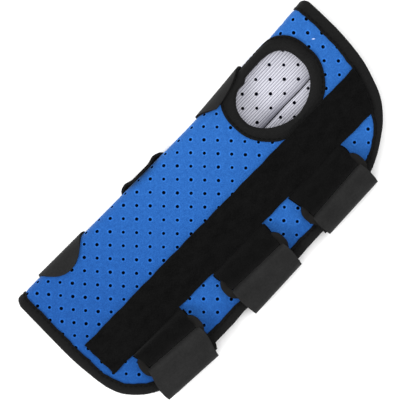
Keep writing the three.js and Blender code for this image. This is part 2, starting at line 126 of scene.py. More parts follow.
def bow(x):
    to_hand = x > WAIST_X
    depth = np.where(to_hand, BOW_HAND, BOW_FOREARM)
    reach = np.where(to_hand, BOW_HAND_REACH, BOW_FOREARM_REACH)
    return WAIST_IN - depth * ((x - WAIST_X) / reach) ** 2


SWELL_FROM = (10, 40)
SWELL_TO = (78, 100)


def soft_swell(x, across):
    swell = waves(x, (0.32, 15.5, across / 40), (0.22, 8.7, 1.3 - across / 17))
    return swell * ease(*SWELL_FROM, across) * (1 - ease(*SWELL_TO, across))


def section(x, run):
    sides = [run < -HALF_ARC, run > HALF_ARC]
    angle = math.pi / 2 + FOLD_LIFT + (np.clip(run, -HALF_ARC, HALF_ARC) + HALF_ARC) / FOLD_RADIUS
    across = np.select(sides, [FRONT_START - HALF_ARC - run, FOLD_RADIUS + run - HALF_ARC],
                       FOLD_RADIUS * (1 + np.cos(angle)))
    front_z, front_slope = front_line(across)
    back_z, back_slope = back_line(across)
    front_size, back_size = np.hypot(1, front_slope), np.hypot(1, back_slope)
    z = np.select(sides, [front_z + soft_swell(x, across), back_z], FOLD_Z + FOLD_RADIUS * np.sin(angle))
    out_across = np.select(sides, [-front_slope / front_size, back_slope / back_size], np.cos(angle))
    out_z = np.select(sides, [1 / front_size, -1 / back_size], np.sin(angle))
    return across, z, out_across, out_z


FOLD_SLACK = 0.6
BY_FOLD = (-2, 9)
HAND_SLACK = 0.45
TO_HAND = (100, 150)
END_PINCH = 0.95
BY_END = (7, 14)
EDGE_SLACK = 0.5
BY_EDGE = (94, 101)
PAST_EDGE = (103, 105.5)
# Depth, place along the arm and spread of the waves in the open edge on both sides of the wrist tab
EDGE_WAVES = [(0.7, 138, 9), (-0.7, 93, 6)]


def place(x, across, z):
    to_end = np.minimum(x, FOLD_END_HAND + 1 - x)
    slack = FOLD_SLACK + HAND_SLACK * ease(*TO_HAND, x) + END_PINCH * (1 - ease(*BY_END, to_end))
    across = across + bow(x) * np.clip(1 - across / BOW_FADE, 0, 1) + slack * (1 - ease(*BY_FOLD, across))
    wave = sum(depth * hump(x, middle, spread) for depth, middle, spread in EDGE_WAVES)
    wave = wave * (1 - ease(*PAST_EDGE, across))
    across = across + (EDGE_SLACK + wave) * ease(*BY_EDGE, across)
    return np.stack([x - ORIGIN_X, ORIGIN_ACROSS - across, z], axis=-1) * MM


def on_sheet(x, run, out):
    across, z, out_across, out_z = section(x, run)
    return place(x, across + out * out_across, z + out * out_z)


def points_of(piece):
    points = np.empty(len(piece.data.vertices) * 3)
    piece.data.vertices.foreach_get("co", points)
    return points.reshape(-1, 3)


def move_points(piece, points):
    piece.data.vertices.foreach_set("co", np.ascontiguousarray(points, dtype=np.float32).ravel())
    piece.data.update()


def keep_pattern(piece, pattern):
    layer = piece.data.attributes.new("flat", "FLOAT_VECTOR", "POINT")
    layer.data.foreach_set("vector", np.ascontiguousarray(pattern, dtype=np.float32).ravel())


def fold(piece, gather=None):
    flat = points_of(piece)
    keep_pattern(piece, flat)
    x, run, out = flat.T / MM
    if gather:
        x, run, out = gather(x, run, out)
    move_points(piece, on_sheet(x, run, out))


def length_along(line):
    return np.concatenate([[0], np.cumsum(np.linalg.norm(np.diff(line, axis=0), axis=1))])


def points_at(line, length, at):
    return np.stack([np.interp(at, length, side) for side in line.T], axis=1)


def even_loop(curve, step):
    closed = np.vstack([curve, curve[:1]])
    length = length_along(closed)
    count = int(round(length[-1] / step))
    return points_at(closed, length, np.linspace(0, length[-1], count, endpoint=False))


def smooth_loop(corners, step):
    at = np.array(corners, dtype=float)[:, None, :]
    before, after, later = (np.roll(at, shift, 0) for shift in (1, -1, -2))
    share = np.linspace(0, 1, 40, endpoint=False)[None, :, None]
    curve = 0.5 * (2 * at + (after - before) * share + (2 * before - 5 * at + 4 * after - later) * share ** 2
                   + (3 * at - before - 3 * after + later) * share ** 3)
    return even_loop(curve.reshape(-1, 2), step)


def signed_area(loop):
    x, y = loop.T
    return 0.5 * np.sum(x * np.roll(y, -1) - y * np.roll(x, -1))


def inward(loop):
    along = np.roll(loop, -1, 0) - np.roll(loop, 1, 0)
    along /= np.hypot(along[:, 0], along[:, 1])[:, None]
    return np.stack([-along[:, 1], along[:, 0]], axis=1) * np.sign(signed_area(loop))


LOOP_STEP = 1.0

fold_runs = (-HALF_ARC, 0, HALF_ARC)
outline = [(hand, front_run(across)) for across, forearm, hand in reversed(END_EDGES)]
outline += [(FOLD_END_HAND, run) for run in fold_runs]
outline += [(hand, back_run(across)) for across, forearm, hand in END_EDGES]
outline += [(x, back_run(SHEET_ACROSS)) for x in reversed(OPEN_EDGE_X)]
outline += [(forearm, back_run(across)) for across, forearm, hand in reversed(END_EDGES)]
outline += [(FOLD_END_FOREARM, run) for run in reversed(fold_runs)]
outline += [(forearm, front_run(across)) for across, forearm, hand in END_EDGES]
outline += [(x, front_run(SHEET_ACROSS)) for x in OPEN_EDGE_X]
edge_loop = smooth_loop(outline, LOOP_STEP)
edge_inward = inward(edge_loop)
edge_tuck = FOLD_TUCK * np.cos(np.pi * np.clip(edge_loop[:, 1] / FOLD_ARC, -0.5, 0.5)) ** 2
edge_loop[:, 0] += edge_tuck * np.where(edge_loop[:, 0] < WAIST_X, 1, -1)


def drawn_in(distance):
    return edge_loop + distance * edge_inward


def ends_at(run, distance):
    loop = drawn_in(distance)
    ends = []
    for side in (loop[:, 0] < WAIST_X, loop[:, 0] >= WAIST_X):
        half = loop[side][np.argsort(loop[side][:, 1])]
        ends.append(np.interp(run, half[:, 1], half[:, 0]))
    return ends


# Thumb hole: an oval, squarer by the fold than by the strip, each given for its hand and its forearm side
THUMB_X = 200
THUMB_ACROSS = 24.15
THUMB_HALF_LONG = 24.75
THUMB_HALF_WIDE = 19.35
SQUARE_BY_FOLD = (2.85, 2.4)
SQUARE_BY_STRIP = (1.95, 1.75)
THUMB_BULGE = 0.085
BULGE_AT = -9.6
BULGE_SPREAD = 3.0


def thumb_outline(step):
    angle = np.linspace(0, 2 * np.pi, 720, endpoint=False)
    to_hand, to_open = np.cos(angle), np.sin(angle)
    by_fold, by_strip = (np.where(to_hand >= 0, *square) for square in (SQUARE_BY_FOLD, SQUARE_BY_STRIP))
    square = np.where(to_open < 0, by_fold, by_strip)
    x = THUMB_HALF_LONG * np.sign(to_hand) * np.abs(to_hand) ** (2 / square)
    across = THUMB_HALF_WIDE * np.sign(to_open) * np.abs(to_open) ** (2 / square)
    bulge = THUMB_BULGE * hump(x, BULGE_AT, BULGE_SPREAD) * (across < 0)
    loop = np.stack([THUMB_X + x * (1 - bulge), front_run(THUMB_ACROSS + across * (1 - bulge))], axis=1)
    return even_loop(loop, step)


thumb_loop = thumb_outline(LOOP_STEP)
thumb_inward = -inward(thumb_loop)


def inside(points, loop):
    crossings = np.zeros(len(points), dtype=int)
    for (x1, y1), (x2, y2) in zip(loop, np.roll(loop, -1, 0)):
        spans = (y1 > points[:, 1]) != (y2 > points[:, 1])
        at = x1 + (points[:, 1] - y1) * (x2 - x1) / (y2 - y1 if y2 != y1 else 1)
        crossings += spans & (points[:, 0] < at)
    return crossings % 2 == 1


def use(piece):
    bpy.ops.object.select_all(action="DESELECT")
    piece.select_set(True)
    bpy.context.view_layer.objects.active = piece


def start(name, add_primitive, **sizes):
    bpy.ops.object.select_all(action="DESELECT")
    add_primitive(**sizes)
    piece = bpy.context.object
    piece.name = piece.data.name = name
    return piece


def from_faces(name, points, faces):
    mesh = bpy.data.meshes.new(name)
    mesh.from_pydata(points, [], faces)
    piece = bpy.data.objects.new(name, mesh)
    bpy.context.collection.objects.link(piece)
    return piece


def finish_with(piece, kind, **settings):
    use(piece)
    modifier = piece.modifiers.new(kind.lower(), kind)
    for setting, value in settings.items():
        setattr(modifier, setting, value)
    bpy.ops.object.modifier_apply(modifier=modifier.name)


def face_outwards(piece):
    use(piece)
    bpy.ops.object.mode_set(mode="EDIT")
    bpy.ops.mesh.select_all(action="SELECT")
    bpy.ops.mesh.normals_make_consistent(inside=False)
    bpy.ops.object.mode_set(mode="OBJECT")


def smooth(piece, degrees):
    use(piece)
    bpy.ops.object.shade_smooth_by_angle(angle=math.radians(degrees))


def grid(name, columns, rows):
    piece = start(name, bpy.ops.mesh.primitive_grid_add, x_subdivisions=columns, y_subdivisions=rows, size=1)
    share_x, share_row = points_of(piece)[:, :2].T + 0.5
    return piece, share_x, share_row


SHEET_COLUMNS = 62
SHEET_ROW_STEP = 2.6
SHEET_EDGE_IN = 1.5
TURN_ACROSS = 12
TURN_ROWS = 34


def sheet_rows(extra=()):
    front = np.arange(TURN_ACROSS, SHEET_ACROSS - 2, SHEET_ROW_STEP)
    across = np.concatenate([front, [SHEET_ACROSS - 2, SHEET_ACROSS - SHEET_EDGE_IN]])
    turn = np.linspace(front_run(TURN_ACROSS), back_run(TURN_ACROSS), TURN_ROWS)[1:-1]
    return np.unique(np.concatenate([front_run(across), turn, back_run(across), extra]))


def sheet_grid(name, rows, out):
    piece, share_x, share_row = grid(name, SHEET_COLUMNS, len(rows) - 1)
    low, high = ends_at(rows, SHEET_EDGE_IN)
    at = np.rint(share_row * (len(rows) - 1)).astype(int)
    x = low[at] + (high[at] - low[at]) * share_x
    move_points(piece, np.stack([x, rows[at], np.full(len(x), out)], axis=1) * MM)
    return piece


def cut(piece, cutter):
    finish_with(piece, "BOOLEAN", operation="DIFFERENCE", solver="MANIFOLD", object=cutter)
    bpy.data.objects.remove(cutter)


THUMB_CUT_IN = 1.2
THUMB_CUT_TOP = 3
THUMB_CUT_BOTTOM = -8


def cut_thumb_hole(piece):
    loop = thumb_loop[::2] + THUMB_CUT_IN * thumb_inward[::2]
    count = len(loop)
    upper = np.column_stack([loop, np.full(count, THUMB_CUT_TOP)])
    lower = np.column_stack([loop, np.full(count, THUMB_CUT_BOTTOM)])
    ring = np.arange(count)
    sides = [(i, (i + 1) % count, count + (i + 1) % count, count + i) for i in ring]
    ends = [tuple(ring[::-1]), tuple(count + ring)]
    cutter = from_faces("thumb_cut", np.vstack([upper, lower]) * MM, sides + ends)
    face_outwards(cutter)
    cut(piece, cutter)


# Punched holes: staggered rows, a little closer at the forearm end, drawn in by the seam under the strip.
# Each one narrows from the face the punch went in by, because the foam closes up behind it.
HOLE_RADIUS = 1.05
HOLE_BEHIND = 0.45
HOLE_DEPTH = 4.0
HOLE_SIDES = 12
HOLE_VARIES = 0.08
HOLE_OFF_EDGE = 4.5
HOLE_OFF_THUMB = 4.0
RIM_DEEP = 0.16
RIM_WIDE = 0.8
# Steps along the arm and rows across it are counted from one hole of the front panel
HOLE_ROWS = range(-26, 12)
HOLE_STEPS = range(-18, 34)
HOLE_X = 87.2
HOLE_ACROSS = 40.55
STEP_PITCH = 5.7
ROW_PITCH = 5.84
ROW_CLIMB = 0.16
ROW_SPREAD = 0.0115
ROW_BEND = 0.0042
STEP_BEND = (0.0106, -0.00094)
BEND_TO_STEP = 15
LEAN = (-0.205, 0.0128)
SAG_FROM_STEP = -4
SAG_STEPS = 10
SAG = (0.5, -0.1)
SEAM_ROW = 5
SEAM_DRAWS = 1.6
PALM_STEP = 11
PALM_SPREAD = 5
PALM_DRAWS = (1.0, 0.2)
PALM_SHIFT = 0.43
FOLD_ROW = -7
BACK_ROW = -10
BACK_STEP = 20
BACK_X = 197.4
BACK_RUN = 13.3
BACK_STEP_PITCH = 5.78
BACK_ROW_PITCH = 6.05


def hole_place(step, row):
    bent = min(step, BEND_TO_STEP)
    x = HOLE_X + STEP_PITCH * step + STEP_BEND[0] * bent ** 2 + STEP_BEND[1] * bent ** 3
    lean = max(min(row, 0), FOLD_ROW) * (LEAN[0] + LEAN[1] * step)
    across = HOLE_ACROSS + ROW_CLIMB * step + ROW_BEND * bent ** 2
    across += max(row, FOLD_ROW) * (ROW_PITCH + ROW_SPREAD * bent)
    if row < SEAM_ROW:
        to_forearm = min(max((SAG_FROM_STEP - step) / SAG_STEPS, 0), 1)
        across += to_forearm ** 2 * (SAG[0] + SAG[1] * row)
    else:
        by_palm = hump(step, PALM_STEP, PALM_SPREAD)
        x -= PALM_SHIFT * (row - SEAM_ROW + 1) * by_palm
        across -= SEAM_DRAWS + (PALM_DRAWS[0] + PALM_DRAWS[1] * (row - SEAM_ROW)) * by_palm
    front = np.array([x + lean, front_run(across)])
    back = np.array([BACK_X + BACK_STEP_PITCH * (step - BACK_STEP),
                     BACK_RUN + BACK_ROW_PITCH * (BACK_ROW - min(row, BACK_ROW))])
    return front + (back - front) * min(max((FOLD_ROW - row) / (FOLD_ROW - BACK_ROW), 0), 1)


lattice = [(step, row) for row in HOLE_ROWS for step in HOLE_STEPS if (step + row) % 2 == 0]
holes = np.array([hole_place(step, row) for step, row in lattice])
by_thumb = inside(holes, thumb_loop + HOLE_OFF_THUMB * thumb_inward)
holes = holes[inside(holes, drawn_in(HOLE_OFF_EDGE)) & ~by_thumb]
hole_sizes = 1 + HOLE_VARIES * np.sin(holes[:, 0] * 12.9 + holes[:, 1] * 78.2)


def copies(name, model, places, sizes=1.0, turns=0.0, heights=0.0):
    one = points_of(model)
    faces = [tuple(face.vertices) for face in model.data.polygons]
    bpy.data.objects.remove(model)
    sizes, turns, heights = (np.broadcast_to(each, len(places))[:, None] for each in (sizes, turns, heights))
    cos, sin = np.cos(turns), np.sin(turns)
    long, wide = one[:, 0] * sizes, one[:, 1] * sizes
    spread = np.stack([
        long * cos - wide * sin + places[:, :1] * MM,
        long * sin + wide * cos + places[:, 1:] * MM,
        one[:, 2] + heights * MM,
    ], axis=-1)
    every = [tuple(i + n * len(one) for i in face) for n in range(len(places)) for face in faces]
    return from_faces(name, spread.reshape(-1, 3), every)


def select_faces(piece, towards):
    bpy.ops.object.mode_set(mode="EDIT")
    bpy.ops.mesh.select_all(action="DESELECT")
    bpy.ops.object.mode_set(mode="OBJECT")
    for face in piece.data.polygons:
        face.select = face.normal.dot(Vector(towards)) > 0.9
    bpy.ops.object.mode_set(mode="EDIT")


def punches(name, places, sizes, at_face, at_depth, top, bottom, pressed_rim):
    taper = (at_depth - at_face) / HOLE_DEPTH
    upper, lower = at_face - taper * top, at_face - taper * bottom
    punch = start("punch", bpy.ops.mesh.primitive_cone_add, vertices=HOLE_SIDES, radius1=lower * MM,
                  radius2=upper * MM, depth=(top - bottom) * MM, location=(0, 0, (top + bottom) / 2 * MM))
    bpy.ops.object.transform_apply(location=True, rotation=False, scale=False)
    if pressed_rim:
        widen = 1 + 2 * RIM_WIDE / upper
        select_faces(punch, (0, 0, 1))
        bpy.ops.mesh.extrude_region_move(TRANSFORM_OT_translate={"value": (0, 0, 2 * RIM_DEEP * MM)})
        bpy.ops.transform.resize(value=(widen, widen, 1))
        bpy.ops.object.mode_set(mode="OBJECT")
    return copies(name, punch, places, sizes)


FLAT_FACE = 0.999
RIM_FACE = 0.4


def colour_faces(piece, outer_up, finish, inner_finish, rim_finish):
    piece.data.materials.clear()
    for each in (finish, inner_finish, rim_finish):
        piece.data.materials.append(each)
    for face in piece.data.polygons:
        towards = face.normal.z * outer_up
        face.material_index = 0 if towards > FLAT_FACE else 2 if towards > RIM_FACE else 1


def finish_of(name, colour, roughness, shine, **sockets):
    material = bpy.data.materials.new(name)
    material.use_nodes = True
    shader = material.node_tree.nodes["Principled BSDF"]
    shader.inputs["Base Color"].default_value = (*colour, 1)
    shader.inputs["Roughness"].default_value = roughness
    shader.inputs["Specular IOR Level"].default_value = shine
    for socket, value in sockets.items():
        shader.inputs[socket.replace("_", " ")].default_value = value
    return material, shader


def join(material, value, socket):
    if isinstance(value, bpy.types.NodeSocket):
        material.node_tree.links.new(value, socket)
    else:
        socket.default_value = value


def add(material, kind, sockets, **settings):
    node = material.node_tree.nodes.new(kind)
    for setting, value in settings.items():
        setattr(node, setting, value)
    for socket, value in sockets.items():
        join(material, value, node.inputs[socket])
    return node


def grey(value):
    return (value, value, value)


def ramp(material, factor, *stops):
    node = add(material, "ShaderNodeValToRGB", {"Fac": factor})
    elements = node.color_ramp.elements
    while len(elements) < len(stops):
        elements.new(0.5)
    for element, (position, colour) in zip(elements, stops):
        element.position = position
        element.color = (*(colour if isinstance(colour, tuple) else grey(colour)), 1)
    return node.outputs["Color"]


def pattern(material):
    return add(material, "ShaderNodeAttribute", {}, attribute_name="flat").outputs["Vector"]


def sides_of(material, vector):
    return add(material, "ShaderNodeSeparateXYZ", {"Vector": vector}).outputs


def share_of(material, value, low, high):
    sockets = {"Value": value, "From Min": low * MM, "From Max": high * MM}
    return add(material, "ShaderNodeMapRange", sockets).outputs["Result"]


def bumped(material, shader, height, depth, strength):
    bump = add(material, "ShaderNodeBump", {"Height": height, "Distance": depth, "Strength": strength})
    join(material, bump.outputs["Normal"], shader.inputs["Normal"])


def blend(material, factor, first, second):
    return add(material, "ShaderNodeMix", {0: factor, 6: first, 7: (*second, 1)}, data_type="RGBA").outputs[2]


def math_of(material, operation, first, second):
    return add(material, "ShaderNodeMath", {0: first, 1: second}, operation=operation).outputs[0]


def weigh(material, *parts):
    total = None
    for source, share in parts:
        part = math_of(material, "MULTIPLY", source, share)
        total = part if total is None else math_of(material, "ADD", total, part)
    return total


def noise(material, vector, grain, detail, roughness):
    sockets = {"Vector": vector, "Scale": 1 / (grain * MM), "Detail": detail, "Roughness": roughness}
    return add(material, "ShaderNodeTexNoise", sockets).outputs["Fac"]


BLUE_DEEP = (0.0063, 0.052, 0.211)
BLUE_MID = (0.0108, 0.076, 0.282)
BLUE_PALE = (0.0193, 0.108, 0.360)
BLUE_SHEEN = (0.45, 0.68, 1.0, 1)
LOOPS_PER_MM = 1.9
FLECK_PALE = (0.42, 0.50, 0.70)
FLECK_X = 239.3
FLECK_ACROSS = 20.6
FLECK_TURN = math.radians(-40)
FLECK_SHAPE = (2.5, 0.8, 1.0)
# The faces of the pressed rims round the holes take a lighter copy of the blue: a painted highlight
RIM_LIGHTER = 1.3


def brushed_blue(name, brightness):
    material, shader = finish_of(name, BLUE_MID, 0.95, 0.12, Sheen_Weight=0.20, Sheen_Roughness=0.45,
                                 Sheen_Tint=BLUE_SHEEN)
    flat = pattern(material)
    nap = noise(material, flat, 0.8, 4.0, 0.65)
    cloud = noise(material, flat, 2.4, 3.0, 0.6)
    sides = sides_of(material, flat)
    to_fold = share_of(material, sides["Y"], front_run(95), front_run(8))
    to_hand = share_of(material, sides["X"], 0, FOLD_END_HAND)
    # Painted shade: the blue is darker near the open edge and next to the strip, and darker towards the
    # forearm end
    painted_shade_across = ramp(material, to_fold, (0.02, 0.25), (0.10, 0.85), (0.27, 0.98), (0.53, 0.72), (1.0, 1))
    painted_shade_to_forearm = ramp(material, to_hand, (0.04, 0), (0.44, 0.74), (0.58, 0.87), (0.94, 1))
    tone = weigh(material, (nap, 0.60), (cloud, 0.28), (painted_shade_across, 0.14), (painted_shade_to_forearm, 0.19))
    deep, mid, pale = (tuple(brightness * np.array(blue)) for blue in (BLUE_DEEP, BLUE_MID, BLUE_PALE))
    blues = ramp(material, tone, (0.525, deep), (0.685, mid), (0.845, pale))
    # A small pale fleck on the blue just past the thumb ring, with a ragged edge
    fleck_place = {"Vector": flat, "Location": (FLECK_X * MM, front_run(FLECK_ACROSS) * MM, 0),
                  "Rotation": (0, 0, FLECK_TURN), "Scale": FLECK_SHAPE}
    stretched = add(material, "ShaderNodeMapping", fleck_place, vector_type="TEXTURE").outputs["Vector"]
    away = add(material, "ShaderNodeVectorMath", {0: stretched}, operation="LENGTH").outputs["Value"]
    ragged = weigh(material, (away, 1 / MM), (nap, 0.9))
    fleck = ramp(material, ragged, (0.65, 1), (0.95, 0))
    join(material, blend(material, fleck, blues, FLECK_PALE), shader.inputs["Base Color"])
    loop_sockets = {"Vector": flat, "Scale": LOOPS_PER_MM / MM}
    loops = add(material, "ShaderNodeTexVoronoi", loop_sockets).outputs["Distance"]
    bumped(material, shader, math_of(material, "ADD", nap, loops), 0.00024, 0.6)
    return material


blue_fabric = brushed_blue("blue_brushed_fabric", 1)
blue_rim_highlight = brushed_blue("blue_rim_painted_highlight", RIM_LIGHTER)

FOAM_DARK = (0.0006, 0.0012, 0.0048)
FOAM_PALE = (0.0014, 0.0028, 0.0110)
foam, shader = finish_of("navy_foam", FOAM_DARK, 1.0, 0.03)
cells = noise(foam, pattern(foam), 0.4, 2.0, 0.5)
join(foam, ramp(foam, cells, (0.3, FOAM_DARK), (0.7, FOAM_PALE)), shader.inputs["Base Color"])
bumped(foam, shader, cells, 0.0002, 0.6)

shell = sheet_grid("shell_cloth", sheet_rows(), 0)
finish_with(shell, "SOLIDIFY", thickness=SHELL_THICK * MM, offset=-1)
cut_thumb_hole(shell)
cut(shell, punches("shell_punches", holes, hole_sizes, HOLE_RADIUS, HOLE_BEHIND, -RIM_DEEP, -HOLE_DEPTH,
                   pressed_rim=True))
finish_with(shell, "TRIANGULATE")
colour_faces(shell, 1, blue_fabric, foam, blue_rim_highlight)
fold(shell)
smooth(shell, 32)
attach(shell, "root")
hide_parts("shell")


# Lining: a thin white rib knit laminated inside the shell, with the same punched holes. On the back panel it
# has slipped into one long tuck beside the thumb hole, where its lip lies over a dark crease.
LINING_THICK = 0.8
PLY_GAP = 0.3
KNIT_LEVEL = 0.65
LEVEL_FROM = (0, 14)
FRONT_SLIP = (1.2, 1.0)
BACK_SLIP = (0.6, 0.5)
BACK_HOLE = 1.12
PUNCH_FROM = -1
BACK_STRETCH = 1.04
STRETCH_FROM = 195
TUCK_ACROSS = 35.2
TUCK_STARTS = (100, 150)
TUCK_ENDS = (232, 250)
# Along the flat knit from the tuck, then where that point ends up across and above the panel
TUCK_SHAPE = [
    (-24, -24, 0), (-16, -16, 0.8), (-9, -9, 1.4), (-4, -4, 1.5), (-1.6, -1.6, 1.3), (-0.9, -1.05, 0.9),
    (-0.2, -0.8, 0.1), (0.4, -0.4, 0), (1.0, -0.15, 0.1), (2.2, -0.1, 1.3), (3.4, -0.3, 2.3),
    (4.2, 0.3, 2.85), (5.4, 1.4, 3.0), (7.7, 3.6, 2.75), (11, 6.9, 2.1), (18, 13.8, 0.9), (28, 23.7, 0),
    (80, 75.7, 0),
]


def tucked(x, run, out):
    along, across, lift = np.array(TUCK_SHAPE).T
    past_fold = run - HALF_ARC
    on_back = ease(*LEVEL_FROM, past_fold) * np.clip(1 - (FOLD_RADIUS + past_fold) / BOW_FADE, 0, 1)
    run = run - KNIT_LEVEL * bow(x) * on_back
    past = run - back_run(TUCK_ACROSS)
    share = ease(*TUCK_STARTS, x) * (1 - ease(*TUCK_ENDS, x)) * (past > along[0])
    past = past - share * waves(x, (0.16, 11, 0.7), (0.10, 4.1, 0))
    run = run + share * (np.interp(past, along, across) - past)
    return x, run, out - share * np.interp(past, along, lift)


def ribs(material, vector, direction, pitch, wander):
    scale = 2 * math.pi / (20 * pitch * MM)
    sockets = {"Vector": vector, "Scale": scale, "Distortion": wander, "Detail": 1.0}
    node = add(material, "ShaderNodeTexWave", sockets, bands_direction=direction, wave_profile="SIN")
    return node.outputs["Fac"]


KNIT_WHITE = (0.57, 0.57, 0.63)
KNIT_MID = (0.40, 0.40, 0.46)
KNIT_SHADE = (0.19, 0.19, 0.23)
KNIT_PAINTED_SHADE = (0.09, 0.09, 0.12)
KNIT_CREASE_SHADOW = (0.012, 0.012, 0.020)
RIB_PITCH = 1.5
WALE_PITCH = 0.9
FINE_ROWS = (-5, 9, 0.4)
COARSE_ROWS = (9, 15, 1.0)
PAINTED_SHADE_BESIDE = 10
PAINTED_SHADE_LENGTH = 250
rib_knit, shader = finish_of("white_rib_knit", KNIT_WHITE, 0.88, 0.15, Sheen_Weight=0.08)
flat = pattern(rib_knit)
courses = ribs(rib_knit, flat, "Y", RIB_PITCH, 0.6)
wales = ribs(rib_knit, flat, "X", WALE_PITCH, 0.8)
fuzz = noise(rib_knit, flat, 1.1, 3.0, 0.5)
knit = weigh(rib_knit, (courses, 0.56), (wales, 0.30), (fuzz, 0.14))
whites = ramp(rib_knit, knit, (0.14, KNIT_SHADE), (0.42, KNIT_MID), (0.72, KNIT_WHITE))
sides = sides_of(rib_knit, flat)
tuck_run = back_run(TUCK_ACROSS)
by_tuck = share_of(rib_knit, sides["Y"], tuck_run - PAINTED_SHADE_BESIDE, tuck_run + PAINTED_SHADE_BESIDE)
to_hand = share_of(rib_knit, sides["X"], 0, PAINTED_SHADE_LENGTH)
# Painted shade: the knit darkens on the fold side of the tuck towards the crease, most on the forearm side of
# the thumb hole
painted_shading = ramp(rib_knit, by_tuck, (0.02, 0), (0.22, 0.22), (0.38, 0.66), (0.47, 0.88), (0.60, 0), (1.0, 0))
less_to_hand = ramp(rib_knit, to_hand, (0.46, 0), (0.62, 1), (0.77, 1), (0.845, 0.6), (0.92, 0.6), (0.99, 0))
# Painted shadow: a near black line along the crease under the lip
sunk = ramp(rib_knit, by_tuck, (0.455, 0), (0.48, 1), (0.55, 1), (0.60, 0))
beside_thumb = ramp(rib_knit, to_hand, (0.46, 0), (0.62, 1), (0.92, 1), (0.99, 0))
mottle_and_painted_shade = blend(rib_knit, math_of(rib_knit, "MULTIPLY", painted_shading, less_to_hand), whites, KNIT_PAINTED_SHADE)
creased = blend(rib_knit, math_of(rib_knit, "MULTIPLY", sunk, beside_thumb), mottle_and_painted_shade, KNIT_CREASE_SHADOW)
join(rib_knit, creased, shader.inputs["Base Color"])
bumped(rib_knit, shader, knit, 0.0004, 0.7)

tuck_rows = tuck_run + np.concatenate([np.arange(*FINE_ROWS), np.arange(*COARSE_ROWS)])
lining = sheet_grid("lining_knit", sheet_rows(tuck_rows), -(SHELL_THICK + PLY_GAP))
finish_with(lining, "SOLIDIFY", thickness=LINING_THICK * MM, offset=-1)
cut_thumb_hole(lining)
on_back = holes[:, 1] > 0
stretched = np.stack([STRETCH_FROM + (holes[:, 0] - STRETCH_FROM) * BACK_STRETCH, holes[:, 1]], axis=1)
knit_holes = np.where(on_back[:, None], stretched + BACK_SLIP, holes + FRONT_SLIP)
knit_sizes = hole_sizes * np.where(on_back, BACK_HOLE, 1)
cut(lining, punches("lining_punches", knit_holes, knit_sizes, HOLE_BEHIND, HOLE_RADIUS, PUNCH_FROM,
                    PUNCH_FROM - HOLE_DEPTH, pressed_rim=False))
finish_with(lining, "TRIANGULATE")
colour_faces(lining, -1, rib_knit, foam, rib_knit)
fold(lining, tucked)
smooth(lining, 40)
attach(lining, "root")
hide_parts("lining")


# Edge binding: a soft black tape folded over the whole cut edge of shell and lining and sewn through with one
# row of black thread near its inner edge, so that the tape puckers a little from stitch to stitch.
WALL = SHELL_THICK + PLY_GAP + LINING_THICK
TAPE_THICK = 0.8
TAPE_POINTS = 28
PAST_SEAM = 0.04
UNDER_PAST_SEAM = 0.02
UNDER_CROWN = 0.06
STITCH_IN = 1.5
STITCH_PITCH = 3.0
STITCH_DIP = 0.10
DIP_VARIES = 0.12
SHARE_SPAN = 10


# One leg of the tape from its inner edge to the bend, as reach from the cut edge and height above its seat
def tape_leg(leg, dip, past_seam, crown, edge_crown):
    return [
        (leg, 0), (leg + 0.05, 0.34), (leg - 0.25, 0.70), (leg - 0.8, TAPE_THICK),
        (leg - STITCH_IN, TAPE_THICK - dip), (leg - 2.3, TAPE_THICK + past_seam),
        (leg * 0.5, TAPE_THICK + crown), (1.8, TAPE_THICK + edge_crown), (0.75, 0.62), (0.2, 0.05),
    ]


def tape_section(leg, under_leg, crown, dip, seat):
    low = -WALL - seat
    upper_leg = tape_leg(leg, dip, PAST_SEAM, crown, 0.9 * crown)
    lower_leg = tape_leg(under_leg, dip, UNDER_PAST_SEAM, UNDER_CROWN, UNDER_CROWN)
    over = [(reach, seat + height) for reach, height in upper_leg]
    under = [(reach, low - height) for reach, height in lower_leg]
    bend = [(0, -0.7), (0, -WALL / 2), (0, -WALL + 0.7)]
    within = [(under_leg * 0.5, low), (1.0, low), (0.85, -WALL / 2), (1.0, seat), (leg * 0.5, seat)]
    return np.array(over + bend + under[::-1] + within)


def loop_length(loop):
    return np.arange(len(loop)) * np.mean(np.hypot(*(np.roll(loop, -1, 0) - loop).T))


def bind(name, loop, into, legs, under_legs, crowns, seat):
    count = len(loop)
    piece = start(name, bpy.ops.mesh.primitive_torus_add, major_segments=count, minor_segments=TAPE_POINTS,
                  major_radius=1, minor_radius=0.25)
    x, y, z = points_of(piece).T
    around = np.rint(np.arctan2(y, x) / (2 * np.pi) * count).astype(int) % count
    turn = np.arctan2(z, np.hypot(x, y) - 1)
    corner = np.rint(turn / (2 * np.pi) * TAPE_POINTS).astype(int) % TAPE_POINTS
    length = loop_length(loop)
    stitches = round(count * length[1] / STITCH_PITCH)
    dips = STITCH_DIP + DIP_VARIES * np.cos(2 * np.pi * stitches * np.arange(count) / count)
    sections = np.stack([tape_section(*sizes, seat) for sizes in zip(legs, under_legs, crowns, dips)])
    reach, out = sections[around, corner].T
    share = reach / np.where(out > -WALL / 2, legs[around], under_legs[around])
    keep_pattern(piece, np.stack([length[around], reach, SHARE_SPAN * share], axis=1) * MM)
    x, run = (loop[around] + reach[:, None] * into[around]).T
    move_points(piece, on_sheet(x, run, out))
    face_outwards(piece)
    smooth(piece, 60)
    return piece


def turned(material, vector, angle, stretch=1.0):
    sockets = {"Vector": vector, "Rotation": (0, 0, angle), "Scale": (1, stretch, 1)}
    return add(material, "ShaderNodeMapping", sockets).outputs["Vector"]


